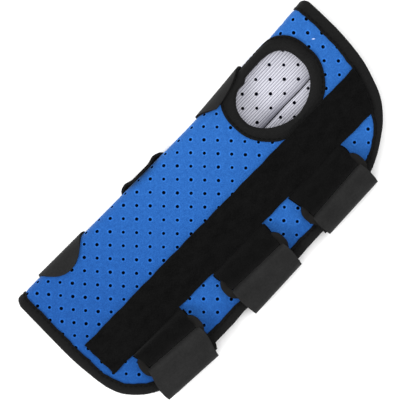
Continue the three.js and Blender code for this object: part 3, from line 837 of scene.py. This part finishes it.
def black_tape(name, dark, pale):
    material, shader = finish_of(name, dark, 0.85, 0.07, Sheen_Weight=0.025, Sheen_Roughness=0.5)
    flat = pattern(material)
    cords = ribs(material, turned(material, flat, math.radians(45)), "X", 0.75, 1.2)
    fuzz = noise(material, flat, 1.4, 4.0, 0.6)
    height = weigh(material, (cords, 0.35), (fuzz, 0.65))
    share = share_of(material, sides_of(material, flat)["Z"], 0, SHARE_SPAN)
    # Painted light and shade across the tape: lighter just in from the folded edge, darker towards the sewn
    # inner edge
    painted_shading = ramp(material, share, (0.0, 0.55), (0.15, 0.75), (0.5, 0.58), (0.75, 0.36), (1.0, 0.18))
    tone = weigh(material, (height, 0.6), (painted_shading, 0.4))
    join(material, ramp(material, tone, (0.30, dark), (0.70, pale)), shader.inputs["Base Color"])
    bumped(material, shader, height, 0.0003, 0.7)
    return material


EDGE_TAPE = 6.8
UNDER_NARROWER = 0.2
EDGE_CROWN = 0.22
WIDER_FOREARM = 0.1
FOREARM_END = (4, 25)
WIDER_HAND = 1.4
HAND_END = (228, 246)
NARROWER_LOWER = 0.8
LOWER_ACROSS = 68
NARROWER_PALM = 1.9
PALM_X = 221
PALM_FROM_ACROSS = 75
NARROWER_SPREAD = 12
tape = black_tape("black_binding_tape", grey(0.0016), grey(0.0082))
along = loop_length(edge_loop)
pucker = waves(along, (0.22, 3.1, 0), (0.16, 1.27, 0.8))
edge_x, edge_run = edge_loop.T
to_forearm = 1 - ease(*FOREARM_END, edge_x)
edge_wide = EDGE_TAPE + WIDER_FOREARM * to_forearm + WIDER_HAND * ease(*HAND_END, edge_x)
edge_wide -= NARROWER_LOWER * to_forearm * hump(edge_run, front_run(LOWER_ACROSS), NARROWER_SPREAD)
edge_wide -= NARROWER_PALM * hump(edge_x, PALM_X, NARROWER_SPREAD) * (edge_run < front_run(PALM_FROM_ACROSS))
edge_legs = edge_wide + pucker
edge_binding = bind("edge_tape", edge_loop, edge_inward, edge_legs, edge_wide - UNDER_NARROWER - pucker,
                    EDGE_CROWN + waves(along, (0.1, 7.7, 0)), PLY_GAP)
edge_binding.data.materials.append(tape)
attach(edge_binding, "root")
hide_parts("edge_binding")

STITCH_LONG = 1.5
STITCH_ROUND = 0.24
STITCH_END = 0.4
STITCH_SINK = 0.2
STITCH_TAPER = 0.45
STITCH_ON_TAPE = 0.85
THREAD_DARK = grey(0.0010)
THREAD_PALE = grey(0.0042)
thread, shader = finish_of("black_sewing_thread", THREAD_DARK, 0.7, 0.05)
flat = pattern(thread)
twist = ribs(thread, turned(thread, flat, 0.7), "X", 0.3, 0.4)
fuzz = noise(thread, flat, 0.5, 3.0, 0.6)
strands = weigh(thread, (twist, 0.6), (fuzz, 0.4))
join(thread, ramp(thread, strands, (0.25, THREAD_DARK), (0.75, THREAD_PALE)), shader.inputs["Base Color"])
bumped(thread, shader, strands, 0.00008, 0.6)


def one_stitch():
    stitch = start("stitch", bpy.ops.mesh.primitive_cylinder_add, vertices=6, radius=STITCH_ROUND * MM,
                   depth=STITCH_LONG * MM, rotation=(0, math.radians(90), 0))
    bpy.ops.object.transform_apply(location=False, rotation=True, scale=False)
    for end in (1, -1):
        select_faces(stitch, (end, 0, 0))
        to_end = (end * STITCH_END * MM, 0, -STITCH_SINK * MM)
        bpy.ops.mesh.extrude_region_move(TRANSFORM_OT_translate={"value": to_end})
        bpy.ops.transform.resize(value=(1, STITCH_TAPER, STITCH_TAPER))
        bpy.ops.object.mode_set(mode="OBJECT")
    return stitch


def sew(name, path, height, beyond_run=-math.inf):
    closed = np.vstack([path, path[:1]])
    length = length_along(closed)
    count = int(round(length[-1] / STITCH_PITCH))
    at = (np.arange(count) + 0.5) * length[-1] / count
    places = points_at(closed, length, at)
    at = at[places[:, 1] > beyond_run]
    places = points_at(closed, length, at)
    ahead = points_at(closed, length, at + 0.5) - places
    heights = np.broadcast_to(height, len(path))
    piece = copies(name, one_stitch(), places, turns=np.arctan2(ahead[:, 1], ahead[:, 0]),
                   heights=np.interp(at, length, np.append(heights, heights[0])))
    fold(piece)
    smooth(piece, 40)
    piece.data.materials.append(thread)
    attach(piece, "root")
    return piece


stitch_line = edge_loop + (edge_legs - STITCH_IN)[:, None] * edge_inward
edge_stitches = sew("edge_stitches", stitch_line, PLY_GAP + STITCH_ON_TAPE)


# Thumb binding: the same tape, sewn round the rim of the thumb hole as a soft padded ring. It is a little
# wider on the hand side, bulges into the hole near the fold, and goes under the pile strip at its lower edge.
THUMB_SEAT = 0.4
THUMB_TAPE = 8.1
THUMB_TAPE_UNDER = 7.3
THUMB_TAPE_HAND = 0.8
THUMB_CROWN = 1.05
# Extra width, bearing from the hand side and spread
WIDER_AT = [(2.8, 2.36, 0.40), (0.35, -0.55, 0.4), (1.5, -2.4, 0.38)]
# Share of the crown that is pressed flat, bearing from the hand side and spread
FLATTER_AT = [(0.85, 1.95, 0.6), (0.9, 2.45, 0.5)]
STRIP_FROM = 47.6
UNDER_STRIP = 1.5
bearing = np.arctan2(thumb_loop[:, 1] - front_run(THUMB_ACROSS), thumb_loop[:, 0] - THUMB_X)
along = loop_length(thumb_loop)
thumb_legs = THUMB_TAPE + THUMB_TAPE_HAND * np.cos(bearing) + waves(along, (0.15, 2.3, 0))
thumb_legs += sum(wider * hump(bearing, at, spread) for wider, at, spread in WIDER_AT)
to_strip = np.maximum(-thumb_inward[:, 1], 1e-6)
room = (thumb_loop[:, 1] - front_run(STRIP_FROM + UNDER_STRIP)) / to_strip
thumb_legs = np.where(thumb_inward[:, 1] < -0.1, np.minimum(thumb_legs, room), thumb_legs)
thumb_crowns = THUMB_CROWN + waves(along, (0.15, 5.3, 0))
for flatter, at, spread in FLATTER_AT:
    thumb_crowns *= 1 - flatter * hump(bearing, at, spread)
under_legs = np.full(len(along), THUMB_TAPE_UNDER)
thumb_binding = bind("thumb_tape", thumb_loop, thumb_inward, thumb_legs, under_legs, thumb_crowns, THUMB_SEAT)
thumb_binding.data.materials.append(tape)
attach(thumb_binding, "root")
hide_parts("thumb_binding")
stitch_line = thumb_loop + (thumb_legs - STITCH_IN)[:, None] * thumb_inward
thumb_stitches = sew("thumb_stitches", stitch_line, THUMB_SEAT + STITCH_ON_TAPE, front_run(STRIP_FROM - 1))


# Pile strip: one long band of black brushed pile, cut square at the forearm end and to the binding's curve at
# the hand end, sewn flat along the front panel over the thumb ring's rim and over the roots of three tabs.
STRIP_TO = 72.5
STRIP_X = 12
STRIP_LONG = 240
STRIP_END_IN = 7.6
STRIP_SEAM_IN = 1.6
STRIP_TOP = 2.6
STRIP_COLUMNS = 320
STRIP_ROWS = 34
STRIP_EDGE = 0.7
SEAM_POINTS = 200
SEAM_END_POINTS = 20
# Shift of the strip's edges away from the fold: all along, gained towards the hand, extra at the forearm end
UPPER_EDGE = (-0.45, 1.9, 0.8)
LOWER_EDGE = (-0.7, 2.5, 0.5)
LOWER_AT_THUMB = 0.45
# Forearm, wrist and palm tab in turn
TAB_X = (48.0, 117.3, 182.3)
TAB_HALF = (19.8, 21.0, 21.5)
TAB_ROOT = 7
TAB_MARGIN = 0.6
TAB_SLOPE = 2.5
LIFT_UNDER = 1.35
LIFT_OVER = 0.4


def over_tab(x, run):
    reach = front_run(STRIP_TO - TAB_ROOT)
    on_root = 1 - ease(reach, reach + TAB_SLOPE, run)
    share = np.zeros(len(x))
    for tab_x, tab_half in zip(TAB_X, TAB_HALF):
        half = tab_half + TAB_MARGIN
        beside = ease(-half - TAB_SLOPE, -half, x - tab_x) * (1 - ease(half, half + TAB_SLOPE, x - tab_x))
        share = np.maximum(share, beside * on_root)
    return share


def strip_place(share_x, share_row, end_in):
    run = front_run(STRIP_TO) + (front_run(STRIP_FROM) - front_run(STRIP_TO)) * share_row
    low = STRIP_X + end_in
    x = low + (ends_at(run, STRIP_END_IN + end_in)[1] - low) * share_x
    along = np.clip((x - STRIP_X) / STRIP_LONG, 0, 1)
    upper = UPPER_EDGE[0] + UPPER_EDGE[1] * along ** 1.5 + UPPER_EDGE[2] * (1 - ease(0, 0.4, along))
    lower = LOWER_EDGE[0] + LOWER_EDGE[1] * along + LOWER_EDGE[2] * (1 - ease(0, 0.1, along))
    lower = lower + LOWER_AT_THUMB * ease(0.75, 0.85, along)
    return x, run - (lower + (upper - lower) * share_row)


def lay_strip(share_x, share_row):
    x, run = strip_place(share_x, share_row, 0)
    waver = waves(x, (0.14, 3.7, 5 * share_row), (0.10, 1.9, 0))
    run = run + waver * np.where(share_row > 0.5, 1, -1) * np.abs(2 * share_row - 1) ** 6
    end_waver = waves(run, (0.15, 1.3, 0)) * (share_x < 0.001)
    return np.stack([x + end_waver, run, np.full(len(x), STRIP_TOP)], axis=1) * MM


PILE_DARK = grey(0.0008)
PILE_PALE = grey(0.0042)
pile, shader = finish_of("black_brushed_pile", PILE_DARK, 1.0, 0.025, Sheen_Weight=0.022, Sheen_Roughness=0.6)
brush = turned(pile, pattern(pile), 0.4, 1.6)
loops = noise(pile, brush, 1.0, 5.0, 0.7)
swept = noise(pile, brush, 7.5, 3.0, 0.5)
tone = weigh(pile, (loops, 0.65), (swept, 0.35))
join(pile, ramp(pile, tone, (0.34, PILE_DARK), (0.68, PILE_PALE)), shader.inputs["Base Color"])
bumped(pile, shader, tone, 0.0006, 0.8)


def round_edges(piece, width, segments, degrees):
    finish_with(piece, "BEVEL", width=width * MM, segments=segments, limit_method="ANGLE",
                angle_limit=math.radians(degrees))


TUFT_SEED = 11
TUFT_DEPTH = 0.16
strip, share_x, share_row = grid("pile_strip", STRIP_COLUMNS, STRIP_ROWS)
move_points(strip, lay_strip(share_x, share_row))
finish_with(strip, "SOLIDIFY", thickness=(STRIP_TOP - PLY_GAP) * MM, offset=-1)
round_edges(strip, STRIP_EDGE, 3, 50)
flat = points_of(strip)
x, run, out = flat.T / MM
lower = out < PLY_GAP + 0.2
lift = over_tab(x, run) * np.where(lower, LIFT_UNDER, LIFT_OVER)
tufts = TUFT_DEPTH * np.random.default_rng(TUFT_SEED).random(len(flat))
ripple = waves(x, (0.07, 2.3, run / 3.1), (0.05, 0.9, 0)) + tufts
flat[:, 2] += (lift + np.where(lower, 0, ripple)) * MM
move_points(strip, flat)
fold(strip)
smooth(strip, 40)
strip.data.materials.append(pile)
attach(strip, "root")
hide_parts("front_strip")

seam_share = STRIP_SEAM_IN / (STRIP_TO - STRIP_FROM)
seam_along = np.linspace(0, 1, SEAM_POINTS)
seam_up = seam_share + (1 - 2 * seam_share) * np.linspace(0, 1, SEAM_END_POINTS)
seam_sides = [
    (seam_along, np.full(SEAM_POINTS, seam_share)), (np.ones(SEAM_END_POINTS), seam_up),
    (seam_along[::-1], np.full(SEAM_POINTS, 1 - seam_share)), (np.zeros(SEAM_END_POINTS), seam_up[::-1]),
]
seam = np.vstack([np.stack(strip_place(*shares, STRIP_SEAM_IN), axis=1) for shares in seam_sides])
strip_stitches = sew("strip_stitches", seam, STRIP_TOP + LIFT_OVER * over_tab(*seam.T))


# Tabs: three short bands of the same pile, doubled round the near bar of a ring and sewn down under the lower
# edge of the strip. They are named for where they sit on the arm.
TAB_THICK = 1.2
TAB_TOP = 7.7
TAB_NOSE_GAP = 1.2
TAB_NOSE_REACH = 2.3
TAB_ON_RING = 10.4
TAB_START = 1.5
TAB_RISE_AT = 0.7
TAB_RISE = 0.8
TAB_NARROWS_BEFORE = 2
TAB_NARROW_AT = 4
TAB_UNDER_WIDER = 1.0
TAB_COLUMNS = 44
BAND_EDGE = 0.28
LINE_STEP = 0.7
STATIONS = ("forearm", "wrist", "palm")
RING_ACROSS = (85.9, 88.4, 90.7)
RING_SLANT = (0.09, 0.042, -0.055)


def rows_of(sizes):
    return [dict(zip(sizes, row)) for row in zip(*sizes.values())]


TABS = rows_of({
    "name": STATIONS,
    "x": TAB_X,
    "half": TAB_HALF,
    "ring": RING_ACROSS,
    "slant": RING_SLANT,
    "ring_x": (48.0, 117.2, 183.4),
    "ring_half": (18.4, 19.8, 20.4),
})


def above_front(across, height):
    z, slope = front_line(across)
    size = np.hypot(1, slope)
    return across - height * slope / size, z + height / size


# Each corner is a place across, a height and the radius that rounds it
def rounded(corners, steps):
    line = [np.array(corners[0][:2], dtype=float)]
    for before, corner, after in zip(corners, corners[1:], corners[2:]):
        at = np.array(corner[:2], dtype=float)
        to_before, to_after = np.array(before[:2]) - at, np.array(after[:2]) - at
        before_far, after_far = np.hypot(*to_before), np.hypot(*to_after)
        turn = min(corner[2], 0.49 * before_far, 0.49 * after_far)
        first = at + to_before / before_far * turn
        last = at + to_after / after_far * turn
        for share in np.linspace(0, 1, steps if corner[2] else 1):
            line.append((1 - share) ** 2 * first + 2 * share * (1 - share) * at + share ** 2 * last)
    line.append(np.array(corners[-1][:2], dtype=float))
    line = np.array(line)
    length = length_along(line)
    count = max(2, int(round(length[-1] / LINE_STEP)) + 1)
    return points_at(line, length, np.linspace(0, length[-1], count))


def band(name, points, along):
    rows, columns = points.shape[0] - 1, points.shape[1] - 1
    piece, share_x, share_row = grid(name, columns, rows)
    at = np.rint(share_row * rows).astype(int), np.rint(share_x * columns).astype(int)
    move_points(piece, points[at])
    keep_pattern(piece, along[at])
    return piece


def finish_band(piece, thick, **sides):
    finish_with(piece, "SOLIDIFY", thickness=thick * MM, offset=0, use_quality_normals=True, **sides)
    round_edges(piece, BAND_EDGE, 2, 60)
    face_outwards(piece)
    smooth(piece, 45)


def tab_points(tab, side):
    nose = tab["ring"] - TAB_NOSE_GAP - TAB_THICK / 2
    on_ring = tab["ring"] - TAB_ON_RING
    low, high = PLY_GAP + TAB_THICK / 2, TAB_TOP - TAB_THICK / 2
    line = rounded([
        (STRIP_TO + TAB_START, low, 0), (nose + TAB_NOSE_REACH, low, 1.0), (nose, high, 3.0),
        (on_ring, high, 3.5), (STRIP_TO + TAB_RISE_AT, low + TAB_RISE, 1.5), (STRIP_TO - TAB_ROOT, low, 0),
    ], 8)
    level, height = line.T
    share = ease(STRIP_TO, on_ring, level)
    into_slot = ease(on_ring - TAB_NARROWS_BEFORE, tab["ring"] - TAB_NARROW_AT, level)
    half = tab["half"] + (tab["ring_half"] - tab["half"]) * into_slot
    under_ply = (np.arange(len(line)) < np.argmax(level)) & (height < low + 0.4)
    half = half + TAB_UNDER_WIDER * under_ply
    across, z = above_front(level, height)
    x = tab["x"] + (tab["ring_x"] - tab["x"]) * share + side * half
    return place(x, across + tab["slant"] * share * side * half, z + soft_swell(x, across))


for row in TABS:
    sides = np.linspace(-1, 1, TAB_COLUMNS + 1)
    points = np.stack([tab_points(row, side) for side in sides], axis=1)
    run = length_along(points[:, TAB_COLUMNS // 2])
    along = np.stack(np.broadcast_arrays(sides * row["half"] * MM, run[:, None], 0.0), axis=-1)
    tab = band("pile_tab_" + row["name"], points, along)
    finish_band(tab, TAB_THICK)
    tab.data.materials.append(pile)
    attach(tab, "root")
    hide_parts("tab_" + row["name"])


# Rings: three flat slotted rings moulded in dark plastic with rounded edges, one at the end of each tab. Only
# their rounded ends show on both sides of tab and strap.
RING_SHORT = 17.6
RING_THICK = 2.8
RING_ROUND = 8
RING_EDGE = 0.9
RING_SIDE = 4.5
RING_BACK = 1.8
RING_HEIGHT = 4.6
SLOT_SHORT = 8
SLOT_ROUND = 2.5
RINGS = rows_of({
    "name": STATIONS,
    "x": (47.8, 117.2, 183.2),
    "across": RING_ACROSS,
    "long": (46.2, 48.9, 50.2),
    "slant": RING_SLANT,
})
RING_DARK = (0.0024, 0.0022, 0.0020)
RING_PALE = (0.0056, 0.0052, 0.0048)
ring_plastic, shader = finish_of("dark_satin_plastic", RING_DARK, 0.45, 0.07)
place_of = add(ring_plastic, "ShaderNodeTexCoord", {}).outputs["Object"]
grain = noise(ring_plastic, place_of, 0.6, 3.0, 0.5)
flow = noise(ring_plastic, place_of, 8.0, 2.0, 0.5)
join(ring_plastic, ramp(ring_plastic, flow, (0.3, RING_DARK), (0.7, RING_PALE)), shader.inputs["Base Color"])
join(ring_plastic, ramp(ring_plastic, grain, (0.3, 0.38), (0.7, 0.56)), shader.inputs["Roughness"])
bumped(ring_plastic, shader, grain, 0.00006, 0.4)


def rounded_plate(name, long, short, thick, corner):
    piece = start(name, bpy.ops.mesh.primitive_cube_add, size=1, scale=(long * MM, short * MM, thick * MM))
    bpy.ops.object.transform_apply(location=False, rotation=False, scale=True)
    bpy.ops.object.mode_set(mode="EDIT")
    bpy.ops.mesh.select_all(action="DESELECT")
    bpy.ops.mesh.select_mode(type="EDGE")
    bpy.ops.object.mode_set(mode="OBJECT")
    mesh = piece.data
    for edge in mesh.edges:
        a, b = (mesh.vertices[v].co for v in edge.vertices)
        edge.select = abs(a.z - b.z) > thick * MM / 2
    bpy.ops.object.mode_set(mode="EDIT")
    bpy.ops.mesh.bevel(offset=corner * MM, segments=10, affect="EDGES")
    bpy.ops.mesh.select_mode(type="VERT")
    bpy.ops.object.mode_set(mode="OBJECT")
    return piece


for row in RINGS:
    ring = rounded_plate("slotted_ring_" + row["name"], row["long"], RING_SHORT, RING_THICK, RING_ROUND)
    slot_long = row["long"] - 2 * RING_SIDE
    cut(ring, rounded_plate("slot_cut", slot_long, SLOT_SHORT, 2 * RING_THICK, SLOT_ROUND))
    round_edges(ring, RING_EDGE, 4, 60)
    middle = row["across"] - RING_BACK
    slope = float(front_line(middle)[1])
    centre_across, centre_z = above_front(middle, RING_HEIGHT)
    use(ring)
    ring.rotation_euler = (math.atan(-slope), 0, math.atan(-row["slant"]))
    ring.location = place(np.array(row["x"]), centre_across, centre_z)
    bpy.ops.object.transform_apply(location=True, rotation=True, scale=False)
    smooth(ring, 40)
    ring.data.materials.clear()
    ring.data.materials.append(ring_plastic)
    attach(ring, "root")
    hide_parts("ring_" + row["name"])


# Straps: three bands of dark grey brushed tricot on foam. Each is sewn under the back edge, comes up round
# the open edge, turns round the far bar of its ring, goes back over itself and under the whole back, and ends
# in a round tip.
STRAP_HALF = 20.5
STRAP_THICK = 1.4
STRAP_SEWN_AT = 82
STRAP_RISE_IN = 7
STRAP_DRAWN_IN = 0.25
STRAP_UNDER = 2.2
STRAP_OVER = 7.1
STRAP_COLUMNS = 36
TOP_PLY_LEVEL_AT = 8.2
EDGE_RISE = 1.7
TURN_POINTS = 80
TIP_POINTS = 12
LOOSE_FROM = (178, 262)
RISE_FROM = (100, 165)
UPRIGHT_FROM = 150
SEWN_POINTS = 30
LEAST_HALF = 0.6
EAR_AT = (-12.4, 11.8)
EAR_SPREAD = 3.5
STRAPS = rows_of({
    "name": STATIONS,
    # Across: the ring it turns round, its outermost reach and where its inner ply comes up
    "ring": RING_ACROSS,
    "edge": (107.9, 107.5, 106.1),
    "close": (105.2, 103.7, 103.8),
    # Along the arm: at the ring and at the fold, with shifts at the edge and of the inner ply
    "x": (47.5, 117.6, 183.4),
    "fold_x": (42.9, 110.1, 177.0),
    "edge_shift": (-4.0, -0.4, 0.1),
    "ply_shift": (0, 0, -2.2),
    "ply_lean": (-2.6, 0, 0),
    # Slant at the ring and at the edge
    "ring_slant": RING_SLANT,
    "edge_slant": (0.072, -0.025, -0.030),
    # Half width of the top ply, its swell half way and its gain at the edge
    "half": (19.8, 20.9, 21.3),
    "bulge": (1.2, 0.8, 0.8),
    "edge_half": (0, -0.6, 0),
    # Tip: the angle where it leaves the fold, its run past that, its length, its roundness and its lean
    "tip_angle": (103, 180, 94),
    "tip_run": (6.2, 8.5, 0),
    "tip_long": (30, 26, 13.5),
    "tip_round": ((2, 2, 0.5), (2, 2, 0.5), (1.4, 4.8, 1)),
    "tip_lean": (-0.14, 0, -0.61),
    # How it stands off the fold: all over, more on one side, upwards and in two ears
    "lift": (0, 0.2, 0.7),
    "tilt": (0, 0, 0.9),
    "rise": (0, 0, 1.0),
    "ears": (0, 1.5, 0),
})


# The strap's middle line as across and height, and how far each point may be pushed off the fold
def strap_line(strap):
    half = STRAP_THICK / 2
    sewn = BACK_EDGE_Z - PLY_GAP * 2 - TAPE_THICK - half
    close, out, turn = strap["close"], strap["edge"] - half, strap["ring"] + half
    over_z = above_front(SHEET_ACROSS, STRAP_UNDER)[1]
    front = rounded([
        (STRAP_SEWN_AT, sewn, 0), (close, sewn, 2), (close, over_z, 2),
        (*above_front(SHEET_ACROSS - STRAP_RISE_IN, STRAP_UNDER), 3), (*above_front(turn, STRAP_UNDER), 2.4),
        (*above_front(turn, STRAP_OVER), 2.6),
        (*above_front(strap["ring"] + TOP_PLY_LEVEL_AT, STRAP_OVER), 5), (out, over_z + EDGE_RISE, 3.2),
        (out, half, 4.5), (BACK_RISE_FROM, half, 0), (FOLD_RADIUS, half, 0),
    ], 10)
    degrees = np.linspace(270, strap["tip_angle"], TURN_POINTS)[1:]
    outward = np.stack([np.cos(np.radians(degrees)), np.sin(np.radians(degrees))], axis=1)
    turn_up = np.array([FOLD_RADIUS, FOLD_Z]) + (FOLD_RADIUS + PLY_GAP + half) * outward
    loose, rise = 1 - ease(*LOOSE_FROM, degrees), 1 - ease(*RISE_FROM, degrees)
    push = np.column_stack([outward * loose[:, None], rise])
    line = [front, turn_up]
    pushes = [np.zeros((len(front), 3)), push]
    if strap["tip_run"]:
        last = turn_up[-1]
        reach = np.linspace(0, strap["tip_run"], TIP_POINTS)[1:]
        on_front = np.stack(above_front(last[0] + reach, PLY_GAP + half + 0 * reach), axis=1)
        upright = np.stack([last[0] + 0 * reach, last[1] + reach], axis=1)
        line.append(on_front if strap["tip_angle"] < UPRIGHT_FROM else upright)
        pushes.append(np.repeat(push[-1:], len(reach), axis=0))
    return np.vstack(line), np.vstack(pushes)


def strap_surface(strap):
    sides = np.linspace(-1, 1, STRAP_COLUMNS + 1)
    mid, push = strap_line(strap)
    level, height = mid.T
    ring, out = strap["ring"], strap["edge"] - STRAP_THICK / 2
    step = length_along(mid)
    number = np.arange(len(mid))

    # The inner ply ends at the turn round the ring, and the top ply runs from there down to the back
    bottom = number[(number > SEWN_POINTS) & (np.abs(height - STRAP_THICK / 2) < 0.02)][0]
    upper = (number < bottom) & (height > FOLD_Z)
    turn = number[upper][np.argmin(level[upper])]
    top_ply = (number > turn) & (number < bottom)
    plies = [number <= turn, top_ply]
    to_edge = ease(ring + 2, out, level)

    # Half width: rounded off at the tip, full on the top ply and drawn in at the ring
    near_power, far_power, root = strap["tip_round"]
    tip = np.clip(strap["tip_long"] - (step[-1] - step), 0, None)
    power = np.where(sides < 0, near_power, far_power)
    wide = np.maximum(STRAP_HALF * (1 - (tip / strap["tip_long"])[:, None] ** power) ** root, LEAST_HALF)
    bulge = strap["bulge"] * np.sin(np.pi * np.clip((level - ring) / (out - ring), 0, 1))
    top_wide = strap["half"] + bulge + strap["edge_half"] * to_edge
    drawn = STRAP_DRAWN_IN * (1 - ease(ring - 1, ring + 5, level)) * (number < bottom)
    wide = np.where(top_ply[:, None], top_wide[:, None], wide) - drawn[:, None]
    beside = sides * wide

    # Place along the arm and slant of the inner ply, the top ply and the stretch under the back
    below_front = 1 - ease(BACK_EDGE_Z, FRONT_EDGE_Z, height)
    down = np.maximum(below_front, ease(SHEET_ACROSS - 1, strap["close"] + 1, level))
    inner_x = strap["x"] + strap["ply_shift"] * ease(ring + 4, SHEET_ACROSS, level) + strap["ply_lean"] * down
    top_x = strap["x"] + strap["edge_shift"] * to_edge
    back_x = strap["x"] + strap["edge_shift"]
    to_fold = np.clip((out - level) / (out - FOLD_RADIUS), 0, 1)
    back_x = back_x + (strap["fold_x"] - back_x) * to_fold
    x = np.select(plies, [inner_x, top_x], back_x) + strap["tip_lean"] * tip
    inner_slant = strap["ring_slant"] * (1 - ease(ring + 2, SHEET_ACROSS - 2, level)) * (height > FOLD_Z)
    top_slant = strap["ring_slant"] + (strap["edge_slant"] - strap["ring_slant"]) * to_edge
    back_slant = strap["edge_slant"] * ease(BACK_RISE_FROM, out, level)
    slant = np.select(plies, [inner_slant, top_slant], back_slant)

    ears = sum(hump(beside, at, EAR_SPREAD) for at in EAR_AT)
    stand_off = strap["lift"] + strap["tilt"] * beside / STRAP_HALF + strap["ears"] * ears
    across = mid[:, :1] + push[:, :1] * stand_off + slant[:, None] * beside
    z = mid[:, 1:] + push[:, 1:2] * stand_off + push[:, 2:] * strap["rise"]

    # The share for painted highlights grows from the ring to the open edge, and falls to half past it
    outermost = number[top_ply][np.argmax(level[top_ply])]
    highlight_share = np.clip((step - step[turn]) / (step[outermost] - step[turn]), 0, 1)
    highlight_share = SHARE_SPAN * (highlight_share - 0.5 * ease(0, 20, step - step[outermost]))
    along = np.stack(np.broadcast_arrays(beside, step[:, None], highlight_share[:, None]), axis=-1) * MM
    return place(x[:, None] + beside, across, z), along


TRICOT_DARK = grey(0.0055)
TRICOT_PALE = grey(0.0158)
tricot, shader = finish_of("dark_grey_tricot", TRICOT_DARK, 0.82, 0.09, Sheen_Weight=0.035,
                           Sheen_Roughness=0.5)
flat = pattern(tricot)
wales = ribs(tricot, flat, "X", 0.7, 1.0)
fuzz = noise(tricot, flat, 1.25, 5.0, 0.65)
mottle_and_painted_shade = noise(tricot, flat, 11.0, 3.0, 0.5)
# Painted highlights: lighter on the crest just past the turn round the ring and at the outer edge
highlight_share = share_of(tricot, sides_of(tricot, flat)["Z"], 0, SHARE_SPAN)
painted_shading = ramp(tricot, highlight_share, (0.0, 0.30), (0.16, 0.62), (0.36, 0.38), (0.55, 0.5), (0.8, 0.48), (1.0, 0.85))
tone = weigh(tricot, (fuzz, 0.38), (mottle_and_painted_shade, 0.24), (wales, 0.10), (painted_shading, 0.28))
join(tricot, ramp(tricot, tone, (0.34, TRICOT_DARK), (0.66, TRICOT_PALE)), shader.inputs["Base Color"])
bumped(tricot, shader, weigh(tricot, (wales, 0.4), (fuzz, 1.0)), 0.00024, 0.6)
band_back = black_tape("black_band_back", grey(0.0016), grey(0.0055))

for row in STRAPS:
    strap = band("strap_band_" + row["name"], *strap_surface(row))
    strap.data.materials.append(band_back)
    strap.data.materials.append(tricot)
    finish_band(strap, STRAP_THICK, material_offset=1, material_offset_rim=0)
    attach(strap, "root")
    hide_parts("strap_" + row["name"])


# Floor, soft light and camera: a plain pale table, an even white surround with one large soft light above the
# hand end and a smaller one low beside the forearm end, and a camera straight above that sees the brace
# slanting from lower left to upper right.
FLOOR_BELOW = 0.2 * MM
FLOOR_WIDE = 6
FLOOR_PALE = grey(0.97)
SURROUND_STRENGTH = 1.15
floor = start("pale_floor", bpy.ops.mesh.primitive_plane_add, size=FLOOR_WIDE, location=(0, 0, -FLOOR_BELOW))
table, shader = finish_of("pale_table", FLOOR_PALE, 0.9, 0.1)
floor.data.materials.append(table)

world = bpy.context.scene.world or bpy.data.worlds.new("soft_surround")
bpy.context.scene.world = world
world.use_nodes = True
surround = world.node_tree.nodes["Background"].inputs
surround["Color"].default_value = (1, 1, 1, 1)
surround["Strength"].default_value = SURROUND_STRENGTH

# Name, place, width and power of each light
SOFT_LIGHTS = [
    ("soft_light_above", (0.14, 0.06, 1.48), 1.0, 9.3),
    ("soft_light_beside", (-0.95, 0.12, 0.75), 0.5, 9.6),
]
for light_name, light_place, light_wide, light_power in SOFT_LIGHTS:
    bpy.ops.object.light_add(type="AREA", location=light_place)
    soft_light = bpy.context.object
    soft_light.name = light_name
    soft_light.data.shape = "DISK"
    soft_light.data.size = light_wide
    soft_light.data.energy = light_power
    soft_light.rotation_euler = (-Vector(light_place)).to_track_quat("-Z", "Y").to_euler()

VIEW_X = -4.26 * MM
VIEW_Y = 15.55 * MM
VIEW_Z = 15 * MM
VIEW_WIDTH = 240 * MM
VIEW_DISTANCE = 3.0
VIEW_TURN = math.radians(-46)
SENSOR_WIDTH = 36
bpy.ops.object.camera_add(location=(VIEW_X, VIEW_Y, VIEW_Z + VIEW_DISTANCE), rotation=(0, 0, VIEW_TURN))
camera = bpy.context.object
camera.data.sensor_width = SENSOR_WIDTH
camera.data.lens = SENSOR_WIDTH * VIEW_DISTANCE / VIEW_WIDTH
bpy.context.scene.camera = camera
bpy.context.scene.view_settings.view_transform = "Standard"
